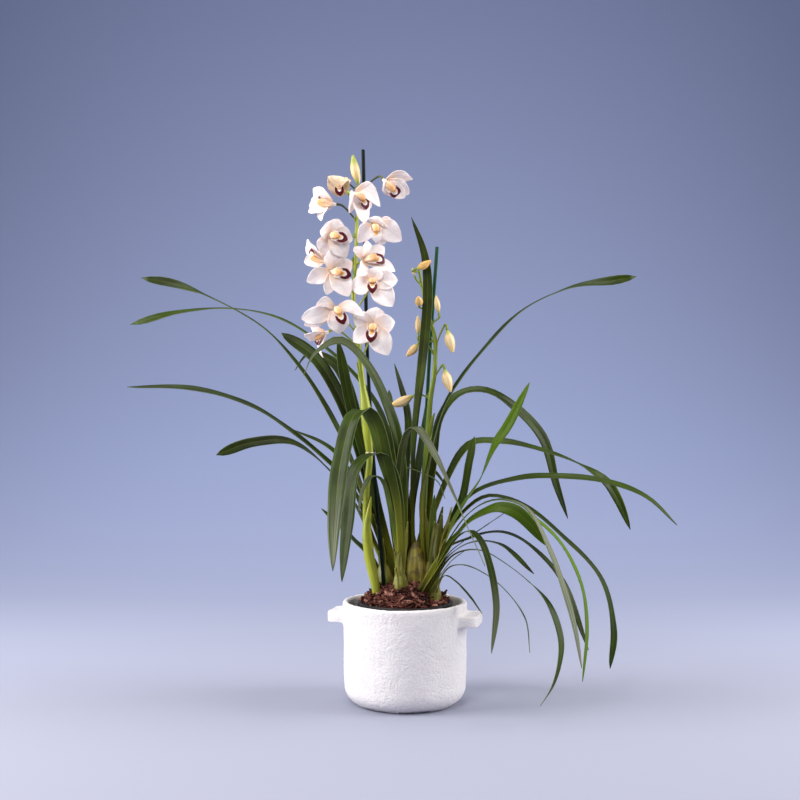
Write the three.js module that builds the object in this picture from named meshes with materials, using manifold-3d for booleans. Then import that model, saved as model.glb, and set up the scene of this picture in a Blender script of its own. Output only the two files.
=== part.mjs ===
// A potted orchid: a cymbidium with grass-like arching leaves, one spike in flower and one in bud,
// held up by two canes, rooted in bark in a nursery pot that stands in a white pot with two lugs.
// Millimetres, +Z up. The origin is the centre of the pot's base, +X to the right, -Y to the front.
import * as THREE from "three";
import { mergeVertices } from "three/addons/utils/BufferGeometryUtils.js";
import Module from "manifold-3d";

const wasm = await Module();
wasm.setup();

// ---------- Driving dimensions ----------
const GAP = 0.3; // left between pieces that touch
const SEED = 20;
const GOLDEN_ANGLE = Math.PI * (3 - Math.sqrt(5)); // spreads points evenly over a disc

const POT = {
  height: 142,
  foot: 60, // radius of the flat base
  corner: 25, // radius of the bottom edge
  belly: 86,
  rim: 87,
  wall: 8.5,
  floor: 9,
  sides: 24,
};
const LUG = { turn: -13, height: 119, reach: 107, width: 56, thick: 15, corner: 11 };
const NURSERY = { bottom: 47, top: 64, height: 128, wall: 1.3, rim: 2.2, drain: 9, sides: 14 };
const MOUND = { top: 165, edge: 143, sides: 14 };
const CHIPS = { count: 20, length: [12, 20], width: [5, 9], thick: [3.2, 5], spread: 55, clear: 15 };

// A leaf narrower than BLADE.narrow is flat; a wider one is folded by these angles at its base and tip.
const BLADE = {
  thickBase: 1.7,
  thickTip: 0.75,
  foldBase: 58,
  foldTip: 12,
  tipWidth: 1.2,
  narrow: 13,
  steps: 7,
};
const TEPAL = { thick: 0.9, root: 2.4, rootShare: 0.15, widest: 0.55, tip: 2.4, dish: 0.2, steps: 3 };
const HUB = 5.4; // reach of the corners of the flower's centre, where its tepals join
const COLUMN = { length: 17, radius: 3 };
const STEM = { sides: 6, bottom: 4.4, top: 1.9, steps: 9 };
const PEDICEL = { sides: 3, start: 1.4, end: 2, steps: 2, sunk: 2.5 };
const CANE = 2.5; // radius
const BULB_LOW = 138; // the pseudobulbs reach down to here in the bark
const LEAF_ROOT = { height: 168, share: 0.7 }; // a leaf starts inside its bulb, further out the lower it lies

// ---------- Colours ----------
const finish = (color, roughness) => new THREE.MeshStandardMaterial({ color, roughness, metalness: 0 });
const GLAZE = finish(0xe9e7ea, 0.75);
const BLACK_PLASTIC = finish(0x17181a, 0.6);
const BARK = finish(0x5b332a, 0.95);
const LEAF = finish(0x2f4420, 0.45);
const STALK = finish(0x8f9a2e, 0.5);
const CANE_GREEN = finish(0x0e2a1c, 0.5);
const TEPAL_WHITE = finish(0xf3ecec, 0.6);
const LIP_CRIMSON = finish(0x6a0f22, 0.5);
const BUD_CREAM = finish(0xe9d9a0, 0.55);

// ---------- Small tools ----------
const vec = (p) => new THREE.Vector3(...p);
const radians = THREE.MathUtils.degToRad;
const mix = THREE.MathUtils.lerp;

// Seeded random numbers from 0 to 1.
function randomFrom(seed) {
  let state = seed;
  return () => {
    state = (state + 0x6d2b79f5) | 0;
    let t = Math.imul(state ^ (state >>> 15), 1 | state);
    t = (t + Math.imul(t ^ (t >>> 7), 61 | t)) ^ t;
    return ((t ^ (t >>> 14)) >>> 0) / 4294967296;
  };
}

// A value from a list of keys spread evenly from t = 0 to t = 1.
function keyed(keys, t) {
  const place = t * (keys.length - 1);
  const low = Math.min(Math.floor(place), keys.length - 2);
  return mix(keys[low], keys[low + 1], place - low);
}

// A closed geometry as a solid that booleans can work on, with its faces turned outwards.
function solidOf(geometry) {
  const bare = geometry.clone();
  bare.deleteAttribute("normal");
  bare.deleteAttribute("uv");
  const merged = mergeVertices(bare, 1e-4);
  const corners = merged.index.array;
  const triangles = [];
  for (let i = 0; i < corners.length; i += 3) {
    const [a, b, c] = corners.subarray(i, i + 3);
    if (a !== b && b !== c && c !== a) triangles.push(a, b, c);
  }
  const build = (list) =>
    new wasm.Manifold(
      new wasm.Mesh({
        numProp: 3,
        vertProperties: new Float32Array(merged.attributes.position.array),
        triVerts: new Uint32Array(list),
      }),
    );
  const solid = build(triangles);
  return solid.volume() > 0 ? solid : build(triangles.reverse());
}

function geometryOf(solid) {
  const mesh = solid.getMesh();
  const geometry = new THREE.BufferGeometry();
  geometry.setAttribute("position", new THREE.BufferAttribute(new Float32Array(mesh.vertProperties), 3));
  geometry.setIndex(new THREE.BufferAttribute(new Uint32Array(mesh.triVerts), 1));
  geometry.computeVertexNormals();
  return geometry;
}

const union = (solids) => solids.reduce((all, one) => all.add(one));

// The outer shell of a solid's largest body: scraps left loose and pockets sealed inside are dropped.
function largestBody(solid) {
  const bodies = solid.decompose();
  return bodies.reduce((best, body) => (body.volume() > best.volume() ? body : best));
}

// A profile of [radius, height] points turned round the Z axis.
function turned(profile, sides) {
  const points = profile.map(([r, z]) => new THREE.Vector2(r, z));
  return solidOf(new THREE.LatheGeometry(points, sides).rotateX(Math.PI / 2));
}

// Points of a rounded corner, from angle a0 to a1 in degrees.
function arc(cx, cz, radius, a0, a1, steps) {
  return Array.from({ length: steps + 1 }, (_, i) => {
    const angle = radians(mix(a0, a1, i / steps));
    return [cx + radius * Math.cos(angle), cz + radius * Math.sin(angle)];
  });
}

// A closed tube round a curve, with one radius for each of the rings.
function tube(points, radii, sides, steps) {
  const curve = new THREE.CatmullRomCurve3(points.map(vec), false, "centripetal");
  const frames = curve.computeFrenetFrames(steps, false);
  const positions = [];
  for (let i = 0; i <= steps; i++) {
    const t = i / steps;
    const centre = curve.getPointAt(t);
    const radius = keyed(radii, t);
    for (let j = 0; j < sides; j++) {
      const angle = (2 * Math.PI * j) / sides;
      const spoke = frames.normals[i].clone().multiplyScalar(Math.cos(angle) * radius);
      spoke.addScaledVector(frames.binormals[i], Math.sin(angle) * radius).add(centre);
      positions.push(spoke.x, spoke.y, spoke.z);
    }
  }
  const index = [];
  for (let i = 0; i < steps; i++)
    for (let j = 0; j < sides; j++) {
      const next = (j + 1) % sides;
      const [a, b] = [i * sides + j, i * sides + next];
      index.push(a, b, b + sides, a, b + sides, a + sides);
    }
  for (let j = 1; j < sides - 1; j++) {
    const last = steps * sides;
    index.push(0, j + 1, j, last, last + j, last + j + 1);
  }
  return solidOf(indexed(positions, index));
}

function indexed(positions, index) {
  const geometry = new THREE.BufferGeometry();
  geometry.setAttribute("position", new THREE.Float32BufferAttribute(positions, 3));
  geometry.setIndex(index);
  return geometry;
}

// A closed thin sheet. rows holds the upper face's points, row by row; each row has as many, and
// thickness(t) is measured down from them. Both faces are split into triangles alike.
function sheet(rows, thickness) {
  const [length, across] = [rows.length, rows[0].length];
  const upper = [];
  const lower = [];
  rows.forEach((row, i) =>
    row.forEach((point, j) => {
      const along = rows[Math.min(i + 1, length - 1)][j].clone().sub(rows[Math.max(i - 1, 0)][j]);
      const over = row[Math.min(j + 1, across - 1)].clone().sub(row[Math.max(j - 1, 0)]);
      const down = along.cross(over).normalize();
      upper.push(point.x, point.y, point.z);
      down.multiplyScalar(thickness(i / (length - 1))).add(point);
      lower.push(down.x, down.y, down.z);
    }),
  );
  const under = length * across;
  const index = [];
  const quad = (a, b, c, d) => index.push(a, b, c, a, c, d);
  for (let i = 0; i < length - 1; i++)
    for (let j = 0; j < across - 1; j++) {
      const a = i * across + j;
      const [b, c, d] = [a + 1, a + across + 1, a + across];
      quad(a, b, c, d);
      index.push(under + a, under + c, under + b, under + a, under + d, under + c);
      if (j === 0) quad(a, d, under + d, under + a);
      if (j === across - 2) quad(c, b, under + b, under + c);
      if (i === 0) quad(b, a, under + a, under + b);
      if (i === length - 2) quad(d, c, under + c, under + d);
    }
  return solidOf(indexed([...upper, ...lower], index));
}

// ---------- Pot, nursery pot, canes ----------
function pot() {
  const { height, foot, corner, belly, rim, wall, floor, sides } = POT;
  const inner = rim - wall;
  const round = wall / 2;
  const cup = turned(
    [
      [0, 0],
      [foot, 0],
      ...arc(belly - corner - 1, corner, corner, -72, 0, 2),
      [belly, 80],
      ...arc(rim - round, height - round, round, 0, 180, 2),
      [inner - 1, 60],
      ...arc(inner - 19, floor + 18, 18, 0, -90, 2),
      [0, floor],
    ],
    sides,
  );
  return union([cup, lug(0), lug(180)]);
}

// A thick slab with rounded corners, which grows from the pot's wall.
function lug(side) {
  const { turn, height, reach, width, thick, corner } = LUG;
  const half = width / 2;
  const root = POT.rim - POT.wall / 2;
  const outline = new THREE.Shape();
  outline.moveTo(root, -half - 5);
  outline.lineTo(reach - corner, -half + 2);
  outline.absarc(reach - corner, -half + corner, corner, -Math.PI / 2.4, 0);
  outline.absarc(reach - corner, half - corner, corner, 0, Math.PI / 2.4);
  outline.lineTo(root, half + 5);
  const bevel = { bevelEnabled: true, bevelSize: 3, bevelThickness: 3, bevelSegments: 1 };
  const slab = new THREE.ExtrudeGeometry(outline, { depth: thick - 6, curveSegments: 2, ...bevel });
  slab.translate(0, 0, height - thick / 2 + 3);
  const body = slab.rotateZ(radians(side + turn));
  const inside = POT.rim - POT.wall + 1;
  const bore = turned([[0, 60], [inside, 60], [inside, 150], [0, 150]], POT.sides);
  return solidOf(body).subtract(bore);
}

function nurseryPot() {
  const { bottom, top, height, wall, rim, drain, sides } = NURSERY;
  const low = POT.floor + GAP;
  const profile = [
    [drain, low],
    [bottom, low],
    [top, height - 6],
    [top + rim, height - 6],
    [top + rim, height],
    [top - wall, height],
    [bottom - wall, low + wall],
    [drain, low + wall],
    [drain, low],
  ];
  return turned(profile, sides);
}

const CANES = {
  stake_tall: [[-28, -9, 60], [-30, -8, 165], [-43, 1, 323], [-53, 6, 490], [-56, 9, 634], [-59, 12, 775]],
  stake_short: [[18, 38, 60], [20, 38, 160], [34, 38, 463], [46, 36, 641]],
};

const cane = (route, grow = 0) => tube(route, [CANE + grow, CANE + grow], 6, 5);

// ---------- Leaves ----------
// A leaf's half width, as a share of its greatest, from its base (0) to its tip (1).
function bladeOutline(t, baseShare) {
  const widening = baseShare + (1 - baseShare) * THREE.MathUtils.smoothstep(t, 0, 0.4);
  const tapering = t < 0.62 ? 1 : Math.pow(Math.max(0, 1 - Math.pow((t - 0.62) / 0.38, 1.7)), 0.8);
  return widening * tapering;
}

// A strap leaf along its route: folded like a V at its base, flatter to its tip. roll turns it
// about its own length, in degrees, from keys spread along it; 0 keeps its edges level.
function leaf({ route, width = 17, roll = [0, 0], base = 0.55, steps = BLADE.steps, heading }) {
  const curve = new THREE.CatmullRomCurve3(route.map(vec), false, "centripetal");
  const [from, to] = [vec(route[0]), vec(route.at(-1))];
  const azimuth = heading === undefined ? Math.atan2(to.y - from.y, to.x - from.x) : radians(heading);
  const level = new THREE.Vector3(-Math.sin(azimuth), Math.cos(azimuth), 0);
  const rows = [];
  for (let i = 0; i <= steps; i++) {
    const t = i / steps;
    const tangent = curve.getTangentAt(t);
    const side = level.clone().addScaledVector(tangent, -level.dot(tangent)).normalize();
    side.applyAxisAngle(tangent, radians(keyed(roll, t)));
    const up = tangent.clone().cross(side);
    const half = Math.max(BLADE.tipWidth, width * bladeOutline(t, base)) / 2;
    const fold = radians(mix(BLADE.foldBase, BLADE.foldTip, THREE.MathUtils.smoothstep(t, 0, 0.6)));
    const edge = (sign) =>
      curve
        .getPointAt(t)
        .addScaledVector(side, sign * half * Math.cos(fold))
        .addScaledVector(up, half * Math.sin(fold));
    rows.push(width < BLADE.narrow ? [edge(1), edge(-1)] : [edge(1), curve.getPointAt(t), edge(-1)]);
  }
  return sheet(rows, (t) => mix(BLADE.thickBase, BLADE.thickTip, Math.min(1, 2 * t)));
}

// A pseudobulb: a swollen base, set a little way into the bark.
function bulb({ at, radius, top }, grow = 0) {
  const rise = top - BULB_LOW;
  const profile = [
    [0, BULB_LOW - grow],
    [0.7 * radius + grow, BULB_LOW - grow],
    [radius + grow, BULB_LOW + 0.4 * rise],
    [0.8 * radius + grow, BULB_LOW + 0.7 * rise],
    [0.4 * radius + grow, top + grow],
    [0, top + grow],
  ];
  return turned(profile, 7).translate(at[0], at[1], 0);
}

// Each shoot stands at a place in the bark. A leaf's route leaves out its root, which lies in the
// bulb; its heading is given where the leaf stands too upright to have one of its own.
const SHOOTS = {
  shoot_1: {
    at: [-27, 10],
    radius: 13,
    top: 192,
    leaves: [
      { roll: [0, 0, 0, -40], route: [
        [-46, 13, 245], [-94, 24, 375], [-144, 32, 461],
        [-206, 41, 528], [-323, 54, 587], [-382, 60, 599]] },
      { roll: [0, 0, -10], route: [
        [-48, 7, 230], [-74, -1, 296], [-105, -6, 333],
        [-203, -23, 410], [-290, -36, 438], [-378, -50, 440]] },
      { width: 16, roll: [0, -10, -40], route: [
        [-48, 6, 226], [-76, -12, 287], [-101, -30, 322],
        [-151, -60, 365], [-202, -84, 366], [-248, -108, 350]] },
      { width: 11, steps: 6, route: [[-46, 20, 252], [-100, 37, 348], [-167, 50, 382]] },
      { width: 19, roll: [-20, -50, -60], route: [
        [-40, 24, 245], [-56, 35, 322], [-83, 53, 403], [-130, 74, 483], [-182, 90, 521]] },
      { width: 17, roll: [0, -30, -60], route: [
        [-38, 38, 262], [-62, 66, 365], [-101, 104, 473], [-145, 126, 491], [-166, 136, 467]] },
      { width: 14, steps: 5, route: [[-47, 22, 195], [-88, 46, 236], [-121, 62, 265]] },
      { width: 13, roll: [-30, -60], steps: 6, route: [
        [-38, 24, 262], [-55, 32, 337], [-77, 43, 411], [-97, 56, 509]] },
    ],
  },
  shoot_2: {
    at: [4, -20],
    radius: 12,
    top: 190,
    leaves: [
      { roll: [-70, -75, -70, -60], route: [
        [-4, -27, 284], [-10, -34, 365], [-25, -42, 417], [-57, -53, 482], [-91, -60, 509],
        [-124, -66, 487], [-137, -70, 455]] },
      { width: 20, route: [
        [-14, -42, 272], [-30, -62, 345], [-42, -74, 393], [-54, -81, 409], [-68, -89, 402],
        [-84, -108, 345], [-91, -140, 270], [-92, -168, 206]] },
      { width: 16, route: [
        [-9, -37, 268], [-20, -51, 325], [-34, -60, 348], [-53, -66, 346], [-68, -74, 328],
        [-76, -92, 263], [-83, -118, 185]] },
      { width: 10, route: [
        [-18, -35, 257], [-32, -50, 314], [-45, -56, 319], [-57, -62, 302], [-63, -70, 270]] },
      { width: 6, route: [
        [-21, -26, 271], [-20, -25, 315], [-5, -23, 329], [20, -25, 323], [45, -31, 310], [55, -37, 287]] },
      { steps: 7, roll: [20, 0, 0, 10, 0], route: [
        [-6, -25, 215], [-12, -27, 263], [-8, -33, 305], [-2, -42, 360], [6, -50, 382], [15, -55, 385],
        [30, -65, 366], [56, -90, 315], [79, -118, 261], [102, -148, 210]] },
    ],
  },
  shoot_3: {
    at: [8, 16],
    radius: 13,
    top: 222,
    leaves: [
      { width: 12, steps: 6, route: [[0, 26, 280], [3, 36, 350], [4, 45, 400], [-15, 60, 475]] },
      { width: 16, heading: -90, roll: [80, 70, 40, 10, -20], route: [
        [13, 15, 267], [13, 15, 323], [15, 14, 387], [23, 13, 464],
        [32, 12, 569], [28, 12, 625], [9, 10, 680]] },
      { roll: [0, 0, 0, -50], route: [
        [-7, 28, 266], [-21, 43, 350], [-42, 55, 415], [-100, 74, 485], [-183, 95, 542], [-256, 112, 558],
        [-337, 131, 555], [-418, 150, 537]] },
      { width: 12, steps: 5, route: [[10, 40, 265], [20, 58, 330], [30, 76, 390], [34, 88, 428]] },
      { width: 9, steps: 6, route: [
        [-7, 50, 278], [-4, 68, 320], [15, 82, 333], [42, 95, 319], [62, 110, 294]] },
      { width: 11, steps: 5, route: [[-10, 31, 279], [-17, 50, 364], [-23, 70, 437]] },
    ],
  },
  shoot_4: {
    at: [34, 2],
    radius: 12,
    top: 196,
    leaves: [
      { roll: [0, 0, 0, 50], route: [
        [26, 9, 278], [35, 13, 330], [44, 17, 375], [61, 22, 423], [104, 30, 485], [169, 40, 551],
        [242, 49, 585], [302, 56, 595], [336, 60, 601]] },
      { width: 15, roll: [0, 0, 0, 20], route: [
        [36, 8, 237], [50, 14, 282], [79, 22, 345], [98, 26, 362], [127, 30, 364], [162, 34, 360],
        [238, 40, 336], [288, 44, 306], [306, 47, 280], [325, 50, 235]] },
      { width: 9, heading: -60, steps: 4, route: [[37, -2, 225], [41, -6, 290]] },
    ],
  },
  shoot_5: {
    at: [36, 33],
    radius: 11,
    top: 188,
    leaves: [
      { width: 15, route: [
        [34, 38, 267], [42, 46, 330], [52, 54, 396], [74, 62, 428], [97, 68, 437], [124, 74, 435],
        [154, 82, 418], [204, 98, 367], [226, 114, 297], [246, 130, 243]] },
      { width: 14, roll: [30, 60], steps: 6, route: [
        [56, 26, 230], [71, 20, 261], [82, 13, 288], [89, 6, 328], [97, -2, 371]] },
      { width: 15, roll: [60, 30, 0, 60, 80], route: [
        [67, 18, 244], [86, 9, 279], [104, -1, 309], [126, -16, 363], [140, -26, 384], [169, -50, 446]] },
      { width: 14, roll: [0, 0, 10], steps: 6, route: [
        [64, 29, 244], [97, 26, 288], [155, 22, 310], [202, 18, 315],
        [283, 11, 308], [340, 5, 286], [381, 0, 247]] },
      { width: 15, roll: [20, 20, 0, 20], route: [
        [67, 34, 239], [112, 34, 282], [146, 35, 281], [176, 35, 268], [222, 36, 231], [281, 38, 167],
        [299, 39, 93], [294, 40, 37]] },
    ],
  },
  shoot_6: {
    at: [43, -24],
    radius: 11,
    top: 184,
    leaves: [
      { width: 19, roll: [60, 50, 60], route: [
        [64, -36, 224], [84, -44, 252], [107, -52, 270],
        [129, -58, 277], [153, -62, 269], [192, -68, 225]] },
      { width: 13, roll: [0, 10, 30], route: [
        [62, -28, 228], [89, -30, 265], [116, -33, 282], [142, -38, 284], [166, -50, 274], [192, -78, 225],
        [221, -98, 133], [231, -112, 71]] },
      { width: 13, roll: [0, 10, 40], route: [
        [66, -24, 227], [96, -24, 262], [130, -26, 277], [164, -29, 268], [212, -36, 228], [241, -44, 168],
        [247, -50, 110], [240, -58, 41]] },
      { width: 12, route: [
        [59, -22, 215], [90, -18, 229], [114, -17, 237], [138, -17, 238], [169, -18, 224], [215, -22, 176],
        [245, -24, 100], [253, -26, 77]] },
      { width: 12, roll: [0, 30], steps: 6, route: [
        [62, -35, 208], [88, -46, 227], [108, -54, 231], [132, -64, 226], [171, -88, 191]] },
      { width: 13, roll: [0, 10, 0], route: [
        [64, -36, 205], [83, -44, 215], [105, -54, 216], [130, -66, 204], [160, -80, 183], [187, -96, 157],
        [203, -112, 112], [200, -124, 80], [190, -136, 54], [173, -146, 30]] },
      { width: 9, steps: 3, route: [[62, -38, 200], [82, -48, 218]] },
      { width: 11, steps: 6, route: [
        [60, -36, 190], [74, -44, 196], [90, -52, 194], [114, -62, 183], [138, -74, 163], [160, -86, 130],
        [165, -94, 88]] },
      { width: 8, steps: 5, route: [[54, -34, 180], [68, -42, 175], [86, -52, 158], [104, -64, 134]] },
      { width: 15, roll: [0, 20, 20], route: [
        [58, -40, 214], [73, -50, 236], [88, -58, 244], [100, -66, 235], [111, -82, 208], [119, -110, 154],
        [110, -148, 98]] },
      { width: 8, steps: 4, route: [[62, -30, 212], [82, -38, 230], [135, -58, 270]] },
    ],
  },
};

function shoot(plan) {
  const leaves = plan.leaves.map((one) => {
    const [x, y, z] = one.route[0];
    const away = new THREE.Vector2(x - plan.at[0], y - plan.at[1]);
    const share = Math.min(LEAF_ROOT.share, away.length() / (z - LEAF_ROOT.height));
    away.setLength(share * plan.radius).add(new THREE.Vector2(...plan.at));
    return leaf({ ...one, route: [[away.x, away.y, LEAF_ROOT.height], ...one.route] });
  });
  return union([bulb(plan), ...leaves]);
}

// ---------- Flower spikes ----------
// Each spike is a stem, the sheaths wrapped round it, and the stalks that end at a bloom or a bud.
const SPIKES = {
  flower_spike_tall: {
    stem: [
      [-40, -14, 90], [-40, -14, 160], [-53, -13, 233], [-54, -13, 290], [-49, -11, 347], [-55, -9, 412],
      [-62, -8, 470], [-67, -6, 526], [-72, -5, 561], [-69, -4, 614], [-67, -2, 679], [-66, 0, 720]],
    sheaths: [
      { radii: [5, 7, 6.6, 3.5, 0.8], route: [
        [-41, -14, 166], [-50, -14, 206], [-53, -14, 245], [-47, -17, 288]] },
      { radii: [4.8, 7, 7.6, 4, 0.8], route: [
        [-49, -11, 345], [-54, -10, 395], [-58, -9, 432], [-67, -10, 474]] },
      { radii: [2.8, 3.4, 0.7], route: [[-69, -5, 580], [-70, -4, 600], [-73, -1, 622]] },
    ],
  },
  flower_spike_short: {
    stem: [
      [24, 21, 90], [24, 21, 160], [27, 24, 280], [33, 26, 379],
      [36, 26, 422], [42, 26, 463], [42, 26, 514],
      [31, 26, 550], [24, 26, 585], [20, 24, 606]],
    sheaths: [
      { radii: [3, 4.2, 0.7], route: [[34, 26, 365], [36, 25, 385], [42, 22, 404]] },
    ],
  },
};

// A bloom's column and lip point at yaw (0 is the front, + is right) and pitch (+ is up), in degrees,
// and roll turns them about that line. Each tepal ends at [right, up, front] of the bloom's centre;
// then come its width, how far its middle arches out of the bloom's face and how far it is lifted.
// from is the height at which the bloom's stalk leaves the stem.
const BLOOMS = {
  bloom_01: {
    at: [-100, -14, 694], yaw: -62, pitch: 3, roll: -97, size: 0.95, from: 672,
    tepals: [
      [-29, 22, -4, 20, 3, 3], [-34, -2, 14, 24, 4], [-33, 8, -12, 20, 2],
      [-34, -12, 6, 24, 3], [-19, -17, 0, 24, 3]],
  },
  bloom_02: {
    at: [-90, -20, 725], yaw: -20, pitch: -48, roll: 0, size: 0.8, from: 706,
    tepals: [
      [-5, -16, 18, 28, 6, 6], [9, -17, 8, 19, 4, 2], [-16, -23, 7, 22, 3, 3],
      [4, -30, -6, 15, 1], [-8, -32, 3, 20, 1]],
  },
  bloom_03: {
    at: [-67, -34, 708], yaw: 52, pitch: -18, roll: 42, size: 1.05, from: 690,
    tepals: [
      [33, -22, 6, 17, 3, 12], [28, 3, -4, 22, 4, 3], [-10, -31, 10, 17, 4, 5],
      [20, -20, -14, 22, 2], [12, -43, -4, 24, 3]],
  },
  bloom_04: {
    at: [-28, -18, 725], yaw: 60, pitch: -36, roll: 18, size: 0.95, from: 700,
    tepals: [
      [38, 2, 2, 19, 4, 9], [34, -16, -8, 24, 4, 2], [-2, -15, 10, 16, 3, 3],
      [28, -22, -5, 20, 2], [7, -19, -6, 16, 2]],
  },
  bloom_05: {
    at: [-103, -36, 647], yaw: 25, pitch: -3, roll: 75, size: 1, from: 650,
    tepals: [
      [-14, -3, 8, 26, 5, 9], [14, 23, -3, 20, 3], [-11, -25, 0, 26, 3],
      [31, -5, -5, 24, 3, 3], [23, -29, -2, 26, 3]],
  },
  bloom_06: {
    at: [-113, -10, 614], yaw: -68, pitch: 5, roll: -150, size: 0.9, from: 612,
    tepals: [
      [-25, 31, -2, 22, 4], [-27, -2, 8, 24, 4], [-9, -12, 4, 18, 3],
      [-22, 16, -14, 20, 2], [-3, 24, -10, 18, 2]],
  },
  bloom_07: {
    at: [-100, -34, 598], yaw: 28, pitch: -5, roll: 78, size: 1.05, from: 572,
    tepals: [
      [-32, -13, -2, 24, 4, 3], [1, 31, 4, 26, 4], [-8, -32, 4, 16, 3],
      [28, 14, -6, 22, 3], [23, -35, 8, 28, 4]],
  },
  bloom_08: {
    at: [-42, -36, 662], yaw: 10, pitch: -20, roll: 5, size: 1.05, from: 640,
    tepals: [
      [7, 9, 10, 24, 6, 2], [37, -22, 0, 28, 4, 5], [-22, -25, 4, 22, 4, 6],
      [27, 1, -10, 18, 2, 3], [14, -26, -9, 20, 2]],
  },
  bloom_09: {
    at: [-56, -35, 613], yaw: 50, pitch: 14, roll: 76, size: 0.98, from: 590,
    tepals: [
      [-14, 19, 0, 22, 3], [4, 27, 7, 19, 3], [-4, -23, 21, 17, 3],
      [28, 20, -9, 22, 3], [43, -13, -3, 19, 3]],
  },
  bloom_10: {
    at: [-45, -42, 583], yaw: 2, pitch: 8, roll: 0, size: 0.95, from: 545,
    tepals: [
      [9, 20, 4, 20, 3], [35, 3, 2, 26, 3], [-20, 20, -11, 20, 2],
      [28, -33, 4, 29, 4], [-28, -9, -4, 26, 3]],
  },
  bloom_11: {
    at: [-95, -38, 548], yaw: 15, pitch: -14, roll: 25, size: 1.05, from: 514,
    tepals: [
      [-27, 3, 4, 18, 4, 8], [40, -12, 12, 15, 3, 8], [-47, -15, 2, 28, 4, 2],
      [7, -36, -2, 27, 3], [-44, -23, -9, 18, 3]],
  },
  bloom_12: {
    at: [-110, -16, 515], yaw: -66, pitch: -20, roll: -45, size: 0.85, from: 496,
    tepals: [
      [-22, 13, -4, 20, 3], [-30, -3, 8, 22, 3], [-21, 5, -12, 18, 2],
      [-6, -34, 6, 16, 3], [-11, -23, -8, 18, 2]],
  },
  bloom_13: {
    at: [-43, -34, 524], yaw: -4, pitch: -6, roll: -8, size: 1.1, from: 474,
    tepals: [
      [4, 26, -1, 25, 3], [29, 5, 3, 25, 3], [-27, 14, -6, 23, 3],
      [21, -44, 6, 29, 5], [-28, -24, 0, 26, 3]],
  },
};

// The flower's own directions: out of its face, to its right and up.
function bloomAxes({ yaw, pitch, roll }) {
  const [turn, tilt] = [radians(yaw), radians(pitch)];
  const level = Math.cos(tilt);
  const out = new THREE.Vector3(Math.sin(turn) * level, -Math.cos(turn) * level, Math.sin(tilt));
  const right = new THREE.Vector3(Math.cos(turn), Math.sin(turn), 0).applyAxisAngle(out, radians(roll));
  return { out, right, up: out.clone().cross(right) };
}

// A point from a flower's centre, along its right, up and out.
const spot = ({ at, axes }, [right, up, out]) =>
  vec(at).addScaledVector(axes.right, right).addScaledVector(axes.up, up).addScaledVector(axes.out, out);

// A tepal's half width, as a share of its greatest, from its root (0) to its tip (1).
function tepalOutline(t) {
  if (t < TEPAL.widest) return mix(TEPAL.rootShare, 1, Math.sin(((t / TEPAL.widest) * Math.PI) / 2));
  return Math.pow(1 - Math.pow((t - TEPAL.widest) / (1 - TEPAL.widest), 2), 0.6);
}

// One petal or sepal: it leaves the hub towards its tip, arched out along the way and dished across.
function tepal(flower, [right, up, front, width, arch, lift = 0], grow) {
  const { thick, root, tip, steps } = TEPAL;
  const reach = new THREE.Vector3(right, -front, up);
  const aim = reach.clone().normalize();
  const out = flower.axes.out.clone().addScaledVector(aim, -flower.axes.out.dot(aim)).normalize();
  const side = aim.clone().cross(out);
  const rows = [];
  for (let i = 0; i <= steps; i++) {
    const t = i / steps;
    const half = Math.max(tip, width * tepalOutline(t)) / 2 + grow;
    const middle = vec(flower.at)
      .addScaledVector(aim, mix(root, reach.length(), t))
      .addScaledVector(out, arch * Math.sin(Math.PI * t) + grow)
      .add(new THREE.Vector3(0, 0, lift * Math.sin(Math.PI * t)));
    const edge = (sign) =>
      middle.clone().addScaledVector(side, sign * half).addScaledVector(out, TEPAL.dish * half);
    rows.push([edge(-1), middle, edge(1)]);
  }
  return sheet(rows, () => thick + 2 * grow);
}

// The column arches over the lip from the flower's centre.
function column(flower, grow) {
  const { length, radius } = COLUMN;
  const route = [[0, 0, 0], [0, 1, 0.6 * length], [0, -2, length]];
  const points = route.map((p) => spot(flower, p.map((v) => v * flower.size)).toArray());
  return tube(points, [radius + grow, radius + grow, 0.7 * radius + grow], 3, 2);
}

function hub(flower, grow) {
  return solidOf(new THREE.OctahedronGeometry(HUB + 1.8 * grow, 0)).translate(flower.at);
}

function bloom(flower, grow = 0) {
  const tepals = flower.tepals.map((one) => tepal(flower, one, grow));
  return union([hub(flower, grow), column(flower, grow), ...tepals]);
}

// The lip: a channel whose sides stand up beside the column, and a front lobe that curls down.
// Each row is [out, height of its middle, half width, height of its sides].
const LIP_ROWS = [
  [3, -2.6, 2.4, 1.2],
  [11, -6.5, 6.5, 6],
  [17, -11.5, 7, -0.5],
  [16, -20, 2.2, -0.2],
];
function lip(flower) {
  const rows = LIP_ROWS.map(([out, middle, half, side]) =>
    [[half, side], [0, 0], [-half, side]].map(([across, rise]) =>
      spot(flower, [across, middle + rise, out].map((v) => v * flower.size)),
    ),
  );
  return sheet(rows, () => 0.9);
}

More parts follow.
